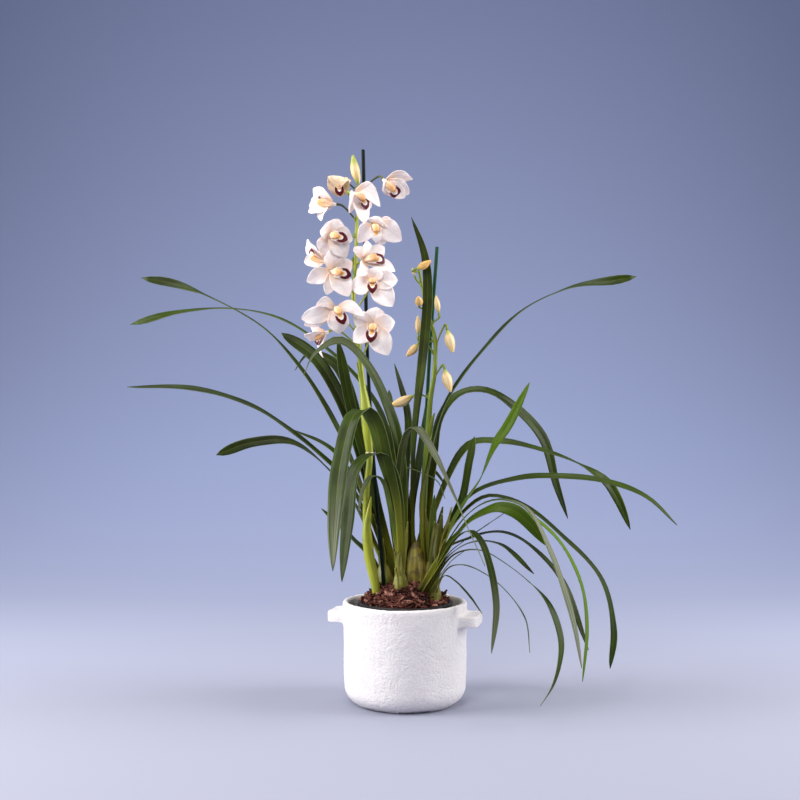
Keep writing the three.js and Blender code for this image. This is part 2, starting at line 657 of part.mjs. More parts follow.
// ---------- Buds ----------
// Each bud points from its base to its tip; from is the height at which its stalk leaves the stem.
const BUDS = {
  bud_01: { spike: "flower_spike_tall", base: [-66, -1, 724], tip: [-73, -3, 757], radius: 5.6, from: 719 },
  bud_02: { spike: "flower_spike_tall", base: [-63, 8, 722], tip: [-61, 9, 745], radius: 2.6, from: 712 },
  bud_03: { spike: "flower_spike_short", base: [16, 4, 606], tip: [36, -1, 617], radius: 5.4, from: 604 },
  bud_04: { spike: "flower_spike_short", base: [14, 21, 598], tip: [10, 20, 609], radius: 2.2, from: 584 },
  bud_05: { spike: "flower_spike_short", base: [20, 14, 556], tip: [19, -4, 566], radius: 5.8, from: 550 },
  bud_06: { spike: "flower_spike_short", base: [48, 24, 545], tip: [44, 22, 570], radius: 4.2, from: 530 },
  bud_07: { spike: "flower_spike_short", base: [19, 18, 514], tip: [18, 16, 541], radius: 4.2, from: 505 },
  bud_08: { spike: "flower_spike_short", base: [19, 22, 502], tip: [2, 18, 484], radius: 5.8, from: 488 },
  bud_09: { spike: "flower_spike_short", base: [60, 20, 521], tip: [68, 17, 489], radius: 7, from: 496 },
  bud_10: { spike: "flower_spike_short", base: [56, 20, 466], tip: [65, 17, 433], radius: 7, from: 452 },
  bud_11: { spike: "flower_spike_short", base: [12, 25, 428], tip: [-21, 23, 414], radius: 7, from: 424 },
};

function bud({ base, tip, radius }) {
  const length = vec(tip).distanceTo(vec(base));
  const profile = [[0, 0], [0.5, 0], [1, 0.4], [0.7, 0.75], [0, 1]];
  const body = new THREE.LatheGeometry(profile.map(([r, y]) => new THREE.Vector2(r * radius, y * length)), 6);
  const along = vec(tip).sub(vec(base)).normalize();
  const aim = new THREE.Quaternion().setFromUnitVectors(new THREE.Vector3(0, 1, 0), along);
  return solidOf(body.applyQuaternion(aim).translate(...base));
}

// The point of a spike's stem at a height.
function stemPoint(stem, height) {
  const above = stem.findIndex((p) => p[2] > height);
  const [low, high] = above < 0 ? stem.slice(-2) : [stem[above - 1], stem[above]];
  return vec(low).lerp(vec(high), Math.min(1, (height - low[2]) / (high[2] - low[2])));
}

// A stalk from the stem at a height, bowed outwards, to an end that it meets along a direction.
function pedicel(stem, height, end, along) {
  const start = stemPoint(stem, height);
  const bow = end.clone().addScaledVector(along, -0.4 * start.distanceTo(end));
  const points = [start, bow, end].map((p) => p.toArray());
  return tube(points, [PEDICEL.start, PEDICEL.end], PEDICEL.sides, PEDICEL.steps);
}

function stalk(name, grow) {
  const { bottom, top, sides, steps } = STEM;
  return tube(SPIKES[name].stem, [bottom + grow, bottom + grow, top + grow], sides, steps);
}

const sheath = ({ route, radii }, grow) => tube(route, radii.map((r) => r + grow), STEM.sides, 3);

function spike(name) {
  const { stem, sheaths } = SPIKES[name];
  const wraps = sheaths.map((one) => sheath(one, 0));
  const flowers = name === "flower_spike_tall" ? Object.values(BLOOMS) : [];
  const toBlooms = flowers.map((flower) => {
    const { out } = bloomAxes(flower);
    return pedicel(stem, flower.from, vec(flower.at).addScaledVector(out, -PEDICEL.sunk), out);
  });
  const hubs = flowers.map((flower) => hub(flower, GAP));
  const toBuds = Object.values(BUDS)
    .filter((one) => one.spike === name)
    .map((one) => {
      const along = vec(one.tip).sub(vec(one.base)).normalize();
      return pedicel(stem, one.from, vec(one.base).addScaledVector(along, -GAP), along);
    });
  const stalks = union([stalk(name, 0), ...wraps, ...toBlooms, ...toBuds]);
  return hubs.length ? stalks.subtract(union(hubs)) : stalks;
}

// ---------- Bark ----------
// Bark fills the nursery pot and rises to a mound, with chips lying on it, and a hole for each piece
// that stands in it.
const moundHeight = (r) => mix(MOUND.top, MOUND.edge, Math.pow(r / (NURSERY.top - NURSERY.wall - GAP), 2.4));

function substrate() {
  const { bottom, top, height, wall } = NURSERY;
  const low = POT.floor + GAP + wall + GAP;
  const edge = top - wall - GAP;
  const slope = [1, 0.75, 0.45, 0].map((share) => [share * edge, moundHeight(share * edge)]);
  const mound = turned([[0, low], [bottom - wall - GAP, low], [edge, height], ...slope], MOUND.sides);
  const stalks = Object.keys(SPIKES).map((name) => stalk(name, GAP));
  const canes = Object.values(CANES).map((route) => cane(route, GAP));
  const bulbs = Object.values(SHOOTS).map((plan) => bulb(plan, GAP));
  const sheaths = Object.values(SPIKES).map((one) => sheath(one.sheaths[0], GAP));
  return union([mound, ...chips()]).subtract(union([...stalks, ...canes, ...bulbs, ...sheaths]));
}

function chips() {
  const random = randomFrom(SEED);
  const between = ([low, high]) => mix(low, high, random());
  const places = Array.from({ length: CHIPS.count }, (_, i) => {
    const away = CHIPS.spread * Math.sqrt((i + 0.5) / CHIPS.count);
    return [away * Math.cos(i * GOLDEN_ANGLE), away * Math.sin(i * GOLDEN_ANGLE)];
  });
  const shoots = Object.values(SHOOTS).map(({ at }) => at);
  const rooted = [...shoots, ...Object.values(SPIKES).map(({ stem }) => stem[0])];
  const open = ([x, y]) => rooted.every((p) => Math.hypot(x - p[0], y - p[1]) > CHIPS.clear);
  return places.filter(open).map(([x, y]) => {
    const chip = new THREE.BoxGeometry(between(CHIPS.length), between(CHIPS.width), between(CHIPS.thick));
    const corners = chip.attributes.position;
    for (let k = 0; k < corners.count; k++) if (corners.getX(k) > 0) corners.setY(k, corners.getY(k) * 0.6);
    chip.rotateX(mix(-0.5, 0.5, random())).rotateY(mix(-0.5, 0.5, random())).rotateZ(random() * Math.PI);
    return solidOf(chip.translate(x, y, moundHeight(Math.hypot(x, y)) + 0.5));
  });
}

// ---------- The object ----------
const root = new THREE.Group();
function place(name, solid, material) {
  const mesh = new THREE.Mesh(geometryOf(largestBody(solid)), material);
  mesh.name = name;
  root.add(mesh);
}

place("pot", pot(), GLAZE);
place("nursery_pot", nurseryPot(), BLACK_PLASTIC);
place("substrate", substrate(), BARK);
for (const [name, route] of Object.entries(CANES)) place(name, cane(route), CANE_GREEN);
for (const [name, plan] of Object.entries(SHOOTS)) place(name, shoot(plan), LEAF);
for (const name of Object.keys(SPIKES)) place(name, spike(name), STALK);
for (const [name, plan] of Object.entries(BLOOMS)) {
  const flower = { ...plan, axes: bloomAxes(plan) };
  place(name, bloom(flower), TEPAL_WHITE);
  place(name.replace("bloom", "lip"), lip(flower).subtract(largestBody(bloom(flower, GAP))), LIP_CRIMSON);
}
for (const [name, plan] of Object.entries(BUDS)) place(name, bud(plan), BUD_CREAM);

export default root;
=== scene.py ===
"""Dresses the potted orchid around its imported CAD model, in Blender 4.5.

Metres, +Z up. The origin is the centre of the outer pot's base, +X to the right and -Y to the front.
The tables of routes and reaches are in millimetres, as a grower would measure them with a rule, and
mm() turns them into metres. Every piece rides on the part's one body, and stands for the CAD node
whose form it keeps.
"""

from __future__ import annotations

import bisect
import logging
import math
import random
from dataclasses import dataclass, field
from enum import Enum
from typing import Callable, Sequence

import bpy
from mathutils import Matrix, Vector, noise

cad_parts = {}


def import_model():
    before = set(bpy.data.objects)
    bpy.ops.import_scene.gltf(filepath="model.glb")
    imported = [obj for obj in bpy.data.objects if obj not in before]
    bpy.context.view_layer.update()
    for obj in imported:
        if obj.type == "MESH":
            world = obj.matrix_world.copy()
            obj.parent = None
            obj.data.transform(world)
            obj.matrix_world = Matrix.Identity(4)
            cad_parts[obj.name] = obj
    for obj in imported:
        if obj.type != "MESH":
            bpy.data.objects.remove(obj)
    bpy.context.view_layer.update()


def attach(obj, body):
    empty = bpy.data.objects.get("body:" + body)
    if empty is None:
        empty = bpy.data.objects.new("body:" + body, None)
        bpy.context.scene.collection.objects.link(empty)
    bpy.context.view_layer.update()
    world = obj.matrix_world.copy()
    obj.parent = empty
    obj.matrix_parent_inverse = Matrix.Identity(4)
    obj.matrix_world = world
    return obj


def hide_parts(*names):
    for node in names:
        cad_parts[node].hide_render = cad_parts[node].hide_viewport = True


LOG = logging.getLogger("potted_orchid")
MM = 0.001
SEED = 20
BODY = "root"
TALL = "flower_spike_tall"
SHORT = "flower_spike_short"

Colour = tuple[float, float, float, float]
Numbers = Sequence[float]
Piece = bpy.types.Object


class Slot(Enum):
    """The material slots."""

    GLAZE = "glaze"
    BLACK_PLASTIC = "black_plastic"
    BARK = "bark"
    STAKE = "stake"
    LEAF = "leaf"
    STALK = "stalk"
    TEPAL = "tepal"
    LIP = "lip"
    BUD = "bud"


# ---------- Numbers, lines and frames ----------


def mm(point: Numbers) -> Vector:
    """A point in millimetres, as a vector in metres."""
    return Vector(point) * MM


def mix(low: float, high: float, share: float) -> float:
    """The value a share of the way from low to high."""
    return low + (high - low) * share


def smoothstep(low: float, high: float, value: float) -> float:
    """0 below low, 1 above high and a smooth S between them."""
    share = min(1.0, max(0.0, (value - low) / (high - low)))
    return share * share * (3 - 2 * share)


def keyed(keys: Numbers, share: float) -> float:
    """A value from keys spread evenly from share 0 to share 1.

    Args:
        keys: At least two values.
        share: The place among them.

    Returns:
        The value between the two nearest keys.
    """
    place = min(1.0, max(0.0, share)) * (len(keys) - 1)
    low = min(int(place), len(keys) - 2)
    return mix(keys[low], keys[low + 1], place - low)


def arc(centre: Numbers, radius: float, start: float, end: float, steps: int) -> list[tuple[float, float]]:
    """The (radius, height) pairs of a profile's rounded corner, between two angles in degrees."""
    angles = [math.radians(mix(start, end, i / steps)) for i in range(steps + 1)]
    return [(centre[0] + radius * math.cos(a), centre[1] + radius * math.sin(a)) for a in angles]


class Route:
    """A smooth line through points, read by its own length from 0 to 1."""

    SAMPLES = 16

    def __init__(self, points: Sequence[Vector]) -> None:
        """Lays the line.

        Args:
            points: At least two points that it passes through.
        """
        ends = [points[0] * 2 - points[1], *points, points[-1] * 2 - points[-2]]
        self.line = [points[0].copy()]
        for span in zip(ends, ends[1:], ends[2:], ends[3:]):
            self.line += [self._between(*span, k / self.SAMPLES) for k in range(1, self.SAMPLES + 1)]
        self.lengths = [0.0]
        for start, end in zip(self.line, self.line[1:]):
            self.lengths.append(self.lengths[-1] + (end - start).length)

    @staticmethod
    def _between(before: Vector, start: Vector, end: Vector, after: Vector, share: float) -> Vector:
        """A centripetal spline's point between two points of the route.

        Args:
            before: The point before both.
            start: The first of the two.
            end: The second of the two.
            after: The point after both.
            share: How far it is from the first to the second.

        Returns:
            The point.
        """
        gaps = [max(1e-6, (b - a).length ** 0.5) for a, b in ((before, start), (start, end), (end, after))]
        leave = (start - before) / gaps[0] - (end - before) / (gaps[0] + gaps[1]) + (end - start) / gaps[1]
        arrive = (end - start) / gaps[1] - (after - start) / (gaps[1] + gaps[2]) + (after - end) / gaps[2]
        leave, arrive = leave * gaps[1], arrive * gaps[1]
        bend = 2 * start - 2 * end + leave + arrive
        turn = 3 * end - 3 * start - 2 * leave - arrive
        return start + leave * share + turn * share**2 + bend * share**3

    @property
    def length(self) -> float:
        """The line's length in metres."""
        return self.lengths[-1]

    def at(self, share: float) -> Vector:
        """A point of the line.

        Args:
            share: How far along it is, from 0 to 1.

        Returns:
            The point.
        """
        place = min(1.0, max(0.0, share)) * self.length
        i = min(len(self.line) - 1, max(1, bisect.bisect_left(self.lengths, place)))
        step = self.lengths[i] - self.lengths[i - 1]
        return self.line[i - 1].lerp(self.line[i], (place - self.lengths[i - 1]) / max(step, 1e-9))

    def tangent(self, share: float) -> Vector:
        """The line's direction a share of the way along."""
        return (self.at(share + 0.004) - self.at(share - 0.004)).normalized()


@dataclass
class Ring:
    """A place along a line: its centre, and two directions across the line."""

    centre: Vector
    side: Vector
    up: Vector


def rings_along(route: Route, shares: Numbers, hint: Vector) -> list[Ring]:
    """Rings along a line that don't twist about it.

    Args:
        route: The line.
        shares: How far along it each ring is.
        hint: Roughly the first ring's side.

    Returns:
        The rings.
    """
    made, side = [], hint
    for share in shares:
        along = route.tangent(share)
        side = (side - along * side.dot(along)).normalized()
        made.append(Ring(route.at(share), side, along.cross(side)))
    return made


# ---------- Modelling ----------


def select_only(pieces: Sequence[Piece]) -> None:
    """Selects pieces alone, with the first one active.

    Args:
        pieces: The pieces.
    """
    bpy.ops.object.select_all(action="DESELECT")
    for piece in pieces:
        piece.select_set(True)
    bpy.context.view_layer.objects.active = pieces[0]


def new_piece(name: str) -> Piece:
    """Names the primitive that was added last, and its mesh.

    Args:
        name: The name of both.

    Returns:
        The piece.
    """
    piece = bpy.context.active_object
    piece.name = piece.data.name = name
    return piece


def turned(name: str, profile: Sequence[tuple[float, float]], sides: int, open_ring: bool = False) -> Piece:
    """A solid of revolution: a disc or a ring, extruded along a profile.

    Args:
        name: The piece's name.
        profile: (radius, height) pairs, from the underside outwards, up and back in.
        sides: How many sides it has.
        open_ring: Whether it has a hole through its middle; the profile then ends where it starts.

    Returns:
        The closed piece.
    """
    bpy.ops.object.select_all(action="DESELECT")
    radius, height = profile[0]
    fill = "NOTHING" if open_ring else "NGON"
    bpy.ops.mesh.primitive_circle_add(vertices=sides, radius=radius, fill_type=fill, location=(0, 0, 0))
    piece = new_piece(name)
    bpy.ops.object.mode_set(mode="EDIT")
    bpy.ops.mesh.select_all(action="SELECT")
    bpy.ops.transform.translate(value=(0, 0, height))
    for next_radius, next_height in profile[1:]:
        bpy.ops.mesh.extrude_region_move(TRANSFORM_OT_translate={"value": (0, 0, next_height - height)})
        scale = next_radius / radius
        bpy.ops.transform.resize(value=(scale, scale, 1), center_override=(0, 0, 0))
        radius, height = next_radius, next_height
    bpy.ops.mesh.select_all(action="SELECT")
    bpy.ops.mesh.remove_doubles(threshold=1e-6)
    bpy.ops.mesh.normals_make_consistent(inside=False)
    bpy.ops.object.mode_set(mode="OBJECT")
    return piece


def shaped_grid(name: str, across: int, along: int, place: Callable[[float, int], Vector]) -> Piece:
    """A flat grid, each point of which is moved to its place on a blade, petal or sheath.

    Args:
        name: The piece's name.
        across: How many faces it has from edge to edge.
        along: How many faces it has from root to tip.
        place: Gives the point for a share across, from 0 to 1, and a row's number.

    Returns:
        The sheet, which has its own UV map: U across and V along.
    """
    bpy.ops.object.select_all(action="DESELECT")
    bpy.ops.mesh.primitive_grid_add(x_subdivisions=across, y_subdivisions=along, size=1, calc_uvs=True)
    piece = new_piece(name)
    for vertex in piece.data.vertices:
        vertex.co = place(vertex.co.x + 0.5, round((vertex.co.y + 0.5) * along))
    return piece


def swept(name: str, route: Route, radius: Callable[[float, float], float], sides: int, count: int,
          hint: Vector = Vector((0, -1, 0)), flat: float = 1.0, blunt: float = 0.0) -> Piece:
    """A ball drawn out along a line, with both of its ends closed.

    Args:
        name: The piece's name.
        route: The line.
        radius: Gives the radius for a share along the line and an angle round it.
        sides: How many sides it has.
        count: How many rings it has.
        hint: Roughly the direction of angle 0.
        flat: Its depth as a share of its width.
        blunt: Where the second ring is, for an end with a small rounded edge.

    Returns:
        The closed piece, which has its own UV map: V along the line.
    """
    bpy.ops.object.select_all(action="DESELECT")
    bpy.ops.mesh.primitive_uv_sphere_add(segments=sides, ring_count=count + 1, radius=1, calc_uvs=True)
    piece = new_piece(name)
    shares = [i / (count - 1) for i in range(count)]
    if blunt:
        shares[1], shares[-2] = blunt, 1 - blunt
    rings = rings_along(route, shares, hint)
    for vertex in piece.data.vertices:
        latitude = math.acos(max(-1.0, min(1.0, -vertex.co.z))) / math.pi * (count + 1)
        row = min(count - 1, max(0, round(latitude) - 1))
        pole = abs(vertex.co.z) > 0.99999
        angle = math.atan2(vertex.co.y, vertex.co.x)
        reach = 0.0 if pole else radius(shares[row], angle)
        ring = rings[row]
        offset = ring.side * math.cos(angle) + ring.up * (math.sin(angle) * flat)
        vertex.co = ring.centre + offset * reach
    return piece


def smoothed(piece: Piece) -> Piece:
    """Applies the modifiers that a piece has, first to last, and shades it smooth.

    Args:
        piece: The piece.

    Returns:
        The piece.
    """
    select_only([piece])
    for modifier in list(piece.modifiers):
        bpy.ops.object.modifier_apply(modifier=modifier.name)
    bpy.ops.object.shade_smooth()
    return piece


def thicken(piece: Piece, thickness: float, back_slot: int = 1) -> Piece:
    """Gives a sheet its thickness, away from its face.

    Args:
        piece: The sheet.
        thickness: Its thickness.
        back_slot: The material slot of its back.

    Returns:
        The closed piece, shaded smooth.
    """
    modifier = piece.modifiers.new("thickness", "SOLIDIFY")
    modifier.thickness = thickness
    modifier.offset = -1
    modifier.material_offset = back_slot
    return smoothed(piece)


def dress(piece: Piece, *materials: bpy.types.Material) -> Piece:
    """Gives a piece its materials.

    Args:
        piece: The piece.
        *materials: The materials, in the order of its slots.

    Returns:
        The piece.
    """
    for material in materials:
        piece.data.materials.append(material)
    return piece


def tint(piece: Piece, **shares: float | list[float]) -> Piece:
    """Stores numbers that its material reads.

    Args:
        piece: The piece.
        **shares: Each attribute's name, and its one value or its value at each point.

    Returns:
        The piece.
    """
    for name, value in shares.items():
        values = value if isinstance(value, list) else [value] * len(piece.data.vertices)
        piece.data.attributes.new(name, "FLOAT", "POINT").data.foreach_set("value", values)
    return piece


def joined(name: str, pieces: list[Piece]) -> Piece:
    """Joins pieces into one.

    Args:
        name: Its name.
        pieces: The pieces.

    Returns:
        The one piece.
    """
    select_only(pieces)
    bpy.ops.object.join()
    return new_piece(name)


def install(piece: Piece, slot: Slot, *nodes: str) -> Piece:
    """Hands a finished piece to the frame.

    Args:
        piece: The piece, in place.
        slot: The record's material slot that it belongs to.
        *nodes: The CAD nodes that it stands for.

    Returns:
        The piece.
    """
    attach(piece, BODY)
    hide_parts(*nodes)
    LOG.info("%s: %d faces, stands for %s", piece.name, len(piece.data.polygons), ", ".join(nodes))
    return piece


# ---------- Finishes ----------


def colour(red: float, green: float, blue: float) -> Colour:
    """An opaque linear colour."""
    return (red, green, blue, 1.0)


class Recipe:
    """A material's node tree under one Principled shader, built one step at a time.

    tone is the colour so far, which starts as the ground, and each wash lays another colour over it.
    """

    def __init__(self, name: str, ground: Colour, **constants: float | Sequence[float]) -> None:
        """Starts the tree.

        Args:
            name: The material's name.
            ground: Its first colour.
            **constants: Values for the shader's own sockets, with _ for each space.
        """
        self.material = bpy.data.materials.new(name)
        self.material.use_nodes = True
        self.tree = self.material.node_tree
        self.shader = self.tree.nodes["Principled BSDF"]
        for socket, value in constants.items():
            self.shader.inputs[socket.replace("_", " ")].default_value = value
        self.places = self.add("ShaderNodeTexCoord")
        self.tone: object = ground

    def add(self, kind: str, sockets: dict | None = None, **settings: object) -> bpy.types.Node:
        """Adds a node.

        Args:
            kind: The node's type.
            sockets: What its inputs get: another node's output, or a plain value.
            **settings: Its own properties, which are set first.

        Returns:
            The node.
        """
        node = self.tree.nodes.new(kind)
        for name, value in settings.items():
            setattr(node, name, value)
        for key, value in (sockets or {}).items():
            if isinstance(value, bpy.types.NodeSocket):
                self.tree.links.new(value, node.inputs[key])
            else:
                node.inputs[key].default_value = value
        return node

    def sum(self, operation: str, *values: object) -> bpy.types.NodeSocket:
        """The result of a Math node."""
        return self.add("ShaderNodeMath", dict(enumerate(values)), operation=operation).outputs[0]

    def blend(self, share: object, low: object, high: object) -> bpy.types.NodeSocket:
        """A colour between two."""
        return self.add("ShaderNodeMix", {0: share, 6: low, 7: high}, data_type="RGBA").outputs[2]

    def ramp(self, value: object, start: float, end: float, low: float = 0.0,
             high: float = 1.0) -> bpy.types.NodeSocket:
        """A smooth step from low to high, as value goes from start to end."""
        sockets = {0: value, 1: start, 2: end, 3: low, 4: high}
        return self.add("ShaderNodeMapRange", sockets, interpolation_type="SMOOTHSTEP").outputs[0]

    def wash(self, over: object, value: object, *steps: float) -> None:
        """Lays a colour over the tone: by value itself, or by the smooth step of it that steps give."""
        share = self.ramp(value, *steps) if steps else value
        self.tone = self.blend(share, self.tone, over)

    def noise(self, scale: float, where: object = None, detail: float = 3.0) -> bpy.types.NodeSocket:
        """Soft noise, on the piece's own coordinates unless where says otherwise."""
        sockets = {"Vector": where or self.places.outputs["Object"], "Scale": scale, "Detail": detail}
        return self.add("ShaderNodeTexNoise", sockets).outputs[0]

    def grain(self, across: float, along: float, scale: float = 1.0,
              detail: float = 2.0) -> bpy.types.NodeSocket:
        """Noise on the UV map, scaled across and along, so that it follows the piece."""
        sockets = {"Vector": self.places.outputs["UV"], "Scale": (across, along, 1.0)}
        return self.noise(scale, self.add("ShaderNodeMapping", sockets).outputs[0], detail)

    def uv(self) -> tuple[bpy.types.NodeSocket, bpy.types.NodeSocket]:
        """U, from edge to edge, and V, from root to tip."""
        parts = self.add("ShaderNodeSeparateXYZ", {0: self.places.outputs["UV"]})
        return parts.outputs[0], parts.outputs[1]

    def off_middle(self) -> bpy.types.NodeSocket:
        """How far it is to the middle line: 0 on it and 0.5 at either edge."""
        return self.sum("ABSOLUTE", self.sum("SUBTRACT", self.uv()[0], 0.5))

    def stored(self, name: str) -> bpy.types.NodeSocket:
        """A number stored on the piece."""
        return self.add("ShaderNodeAttribute", attribute_name=name).outputs["Fac"]

    def gloss(self, value: object, start: float, end: float, low: float, high: float) -> None:
        """Feeds the shader's roughness from a smooth step."""
        self.tree.links.new(self.ramp(value, start, end, low, high), self.shader.inputs["Roughness"])

    def finish(self, *layers: tuple[object, float, float]) -> bpy.types.Material:
        """Feeds the shader's colour and its relief.

        Args:
            *layers: Each layer of the relief: its height, strength and distance in metres.

        Returns:
            The finished material.
        """
        self.tree.links.new(self.tone, self.shader.inputs["Base Color"])
        bumps: dict[str, object] = {}
        for height, strength, distance in layers:
            sockets = {"Height": height, "Strength": strength, "Distance": distance, **bumps}
            bumps = {"Normal": self.add("ShaderNodeBump", sockets).outputs[0]}
        for normal in bumps.values():
            self.tree.links.new(normal, self.shader.inputs["Normal"])
        return self.material


@dataclass(frozen=True)
class SandedGlaze:
    """Matt white glaze over a sanded, slightly crusty body."""

    white: Colour = colour(0.83, 0.80, 0.81)
    shade: Colour = colour(0.76, 0.67, 0.72)

    def material(self) -> bpy.types.Material:
        """Builds the finish.

        Returns:
            Its material.
        """
        recipe = Recipe("sanded_white_glaze", self.white, Roughness=0.6, Specular_IOR_Level=0.35)
        crust, sand = recipe.noise(400, detail=4), recipe.noise(900, detail=2)
        recipe.wash(self.shade, crust, 0.30, 0.5, 0.35, 0.0)
        recipe.wash(self.shade, recipe.noise(30, detail=3), 0.45, 0.75, 0.0, 0.25)
        recipe.gloss(crust, 0.3, 0.7, 0.7, 0.42)
        return recipe.finish((crust, 0.75, 0.0018), (sand, 0.7, 0.0005))


@dataclass(frozen=True)
class MouldedPlastic:
    """Thin black plastic, finely grained."""

    black: Colour = colour(0.012, 0.012, 0.014)
    dusty: Colour = colour(0.05, 0.045, 0.042)

    def material(self) -> bpy.types.Material:
        """Builds the finish.

        Returns:
            Its material.
        """
        recipe = Recipe("moulded_black_plastic", self.black, Roughness=0.5, Specular_IOR_Level=0.45)
        dust = recipe.noise(60, detail=4)
        recipe.wash(self.dusty, dust, 0.5, 0.75)
        recipe.gloss(dust, 0.3, 0.7, 0.42, 0.65)
        return recipe.finish((recipe.noise(1500, detail=1), 0.15, 0.0002))


@dataclass(frozen=True)
class BarkFinish:
    """Shredded red-brown bark and coir, each chip of its own tone; its palest chips are partly painted
    highlight.
    """

    dark: Colour = colour(0.022, 0.007, 0.006)
    brown: Colour = colour(0.17, 0.048, 0.034)
    pink: Colour = colour(0.52, 0.24, 0.18)

    def material(self) -> bpy.types.Material:
        """Builds the finish.

        Returns:
            Its material.
        """
        recipe = Recipe("shredded_bark", self.dark, Roughness=0.85, Specular_IOR_Level=0.25)
        shade, fibres = recipe.stored("shade"), recipe.noise(420, detail=4)
        recipe.wash(self.brown, shade, 0.0, 0.55)
        # Painted highlight: the chips of the highest tone turn pink, partly their own paler colour and
        # partly painted light.
        recipe.wash(self.pink, shade, 0.6, 1.0)
        recipe.wash(self.dark, fibres, 0.35, 0.6, 0.8, 0.0)
        return recipe.finish((fibres, 0.8, 0.0012), (recipe.noise(1400, detail=2), 0.4, 0.0004))


@dataclass(frozen=True)
class CoatedCane:
    """Dark green plastic coating over a cane, which fresh turns lighter."""

    green: Colour = colour(0.0015, 0.006, 0.0045)
    worn: Colour = colour(0.004, 0.018, 0.010)
    light: Colour = colour(0.014, 0.078, 0.028)

    def material(self) -> bpy.types.Material:
        """Builds the finish.

        Returns:
            Its material.
        """
        recipe = Recipe("coated_cane", self.green, Roughness=0.6, Specular_IOR_Level=0.1)
        flecks = recipe.grain(0.5, 0.12, scale=300, detail=3)
        recipe.wash(self.worn, flecks, 0.45, 0.7)
        recipe.wash(self.light, recipe.stored("fresh"))
        recipe.gloss(flecks, 0.3, 0.7, 0.36, 0.55)
        return recipe.finish((flecks, 0.3, 0.0004))


@dataclass(frozen=True)
class LeafFinish:
    """A strap leaf: fine veins along it, a sunk midrib, a pale sheathing base, painted root shade and sheen.
    """

    name: str
    deep: Colour
    fresh: Colour
    base: Colour
    roughness: float
    root: Colour = colour(0.045, 0.036, 0.008)
    silver: Colour = colour(0.30, 0.31, 0.24)
    vein: Colour = colour(0.01, 0.015, 0.006)
    edge: Colour = colour(0.20, 0.25, 0.10)

    def material(self) -> bpy.types.Material:
        """Builds the finish.

        Returns:
            Its material.
        """
        recipe = Recipe(self.name, self.deep, Roughness=self.roughness, Specular_IOR_Level=0.12)
        along, off_middle, veins = recipe.uv()[1], recipe.off_middle(), recipe.grain(34, 3)
        recipe.wash(self.fresh, recipe.stored("fresh"))
        recipe.wash(self.fresh, recipe.noise(24, detail=3), 0.4, 0.75, 0.0, 0.2)
        recipe.wash(self.base, along, 0.04, 0.36, 1, 0)
        # Painted shade: the blade darkens towards its root, where the clump shades it near the bark.
        recipe.wash(self.root, along, 0.0, 0.15, 0.8, 0)
        # Painted sheen: a pale grey painted highlight in streaks, on the leaves that shine, from a share of
        # the way along.
        streaks = recipe.ramp(recipe.grain(9, 1.6), 0.3, 0.65)
        shine = recipe.sum("MULTIPLY", recipe.stored("silver"), streaks)
        beyond = recipe.sum("SUBTRACT", along, recipe.stored("silver_from"))
        recipe.wash(self.silver, recipe.sum("MULTIPLY", shine, recipe.ramp(beyond, 0.0, 0.22)))
        recipe.wash(recipe.blend(0.5, recipe.tone, self.vein), veins, 0.38, 0.62, 0.45, 0.0)
        recipe.wash(recipe.blend(0.35, recipe.tone, self.base), off_middle, 0.012, 0.045, 0.6, 0.0)
        edge = recipe.ramp(off_middle, 0.455, 0.49, 0.0, 0.5)
        recipe.wash(self.edge, recipe.sum("MULTIPLY", edge, recipe.ramp(along, 0.1, 0.4, 0.1, 1.0)))
        recipe.gloss(veins, 0.3, 0.7, self.roughness + 0.08, self.roughness - 0.06)
        return recipe.finish((veins, 0.35, 0.0004), (recipe.ramp(off_middle, 0.0, 0.05), 0.3, 0.0006))


@dataclass(frozen=True)
class StalkFinish:
    """A stem, sheath or flower stalk: green to yellow, with fine lines along it."""

    name: str
    green: Colour
    yellow: Colour
    dark: Colour

    def material(self) -> bpy.types.Material:
        """Builds the finish.

        Returns:
            Its material.
        """
        recipe = Recipe(self.name, self.green, Roughness=0.42, Specular_IOR_Level=0.5)
        lines = recipe.grain(14, 2.5)
        recipe.wash(self.yellow, recipe.stored("fresh"))
        recipe.wash(self.green, recipe.noise(45, detail=2), 0.4, 0.75, 0.0, 0.5)
        recipe.wash(self.dark, recipe.stored("dusk"))
        recipe.wash(recipe.blend(0.5, recipe.tone, self.dark), lines, 0.4, 0.62, 0.5, 0.0)
        recipe.gloss(lines, 0.3, 0.7, 0.5, 0.36)
        return recipe.finish((lines, 0.35, 0.0004))


@dataclass(frozen=True)
class BulbFinish:
    """A pseudobulb: olive skin with dark ridges and brown papery patches."""

    olive: Colour = colour(0.29, 0.24, 0.02)
    brown: Colour = colour(0.15, 0.10, 0.02)
    ridge: Colour = colour(0.03, 0.025, 0.01)

    def material(self) -> bpy.types.Material:
        """Builds the finish.

        Returns:
            Its material.
        """
        recipe = Recipe("bulb_skin", self.olive, Roughness=0.5, Specular_IOR_Level=0.45)
        lines, patches = recipe.grain(30, 3, detail=3), recipe.noise(70, detail=4)
        recipe.wash(self.brown, patches, 0.42, 0.6)
        recipe.wash(self.ridge, lines, 0.4, 0.6, 0.5, 0.0)
        return recipe.finish((lines, 0.5, 0.0008), (patches, 0.2, 0.0006))


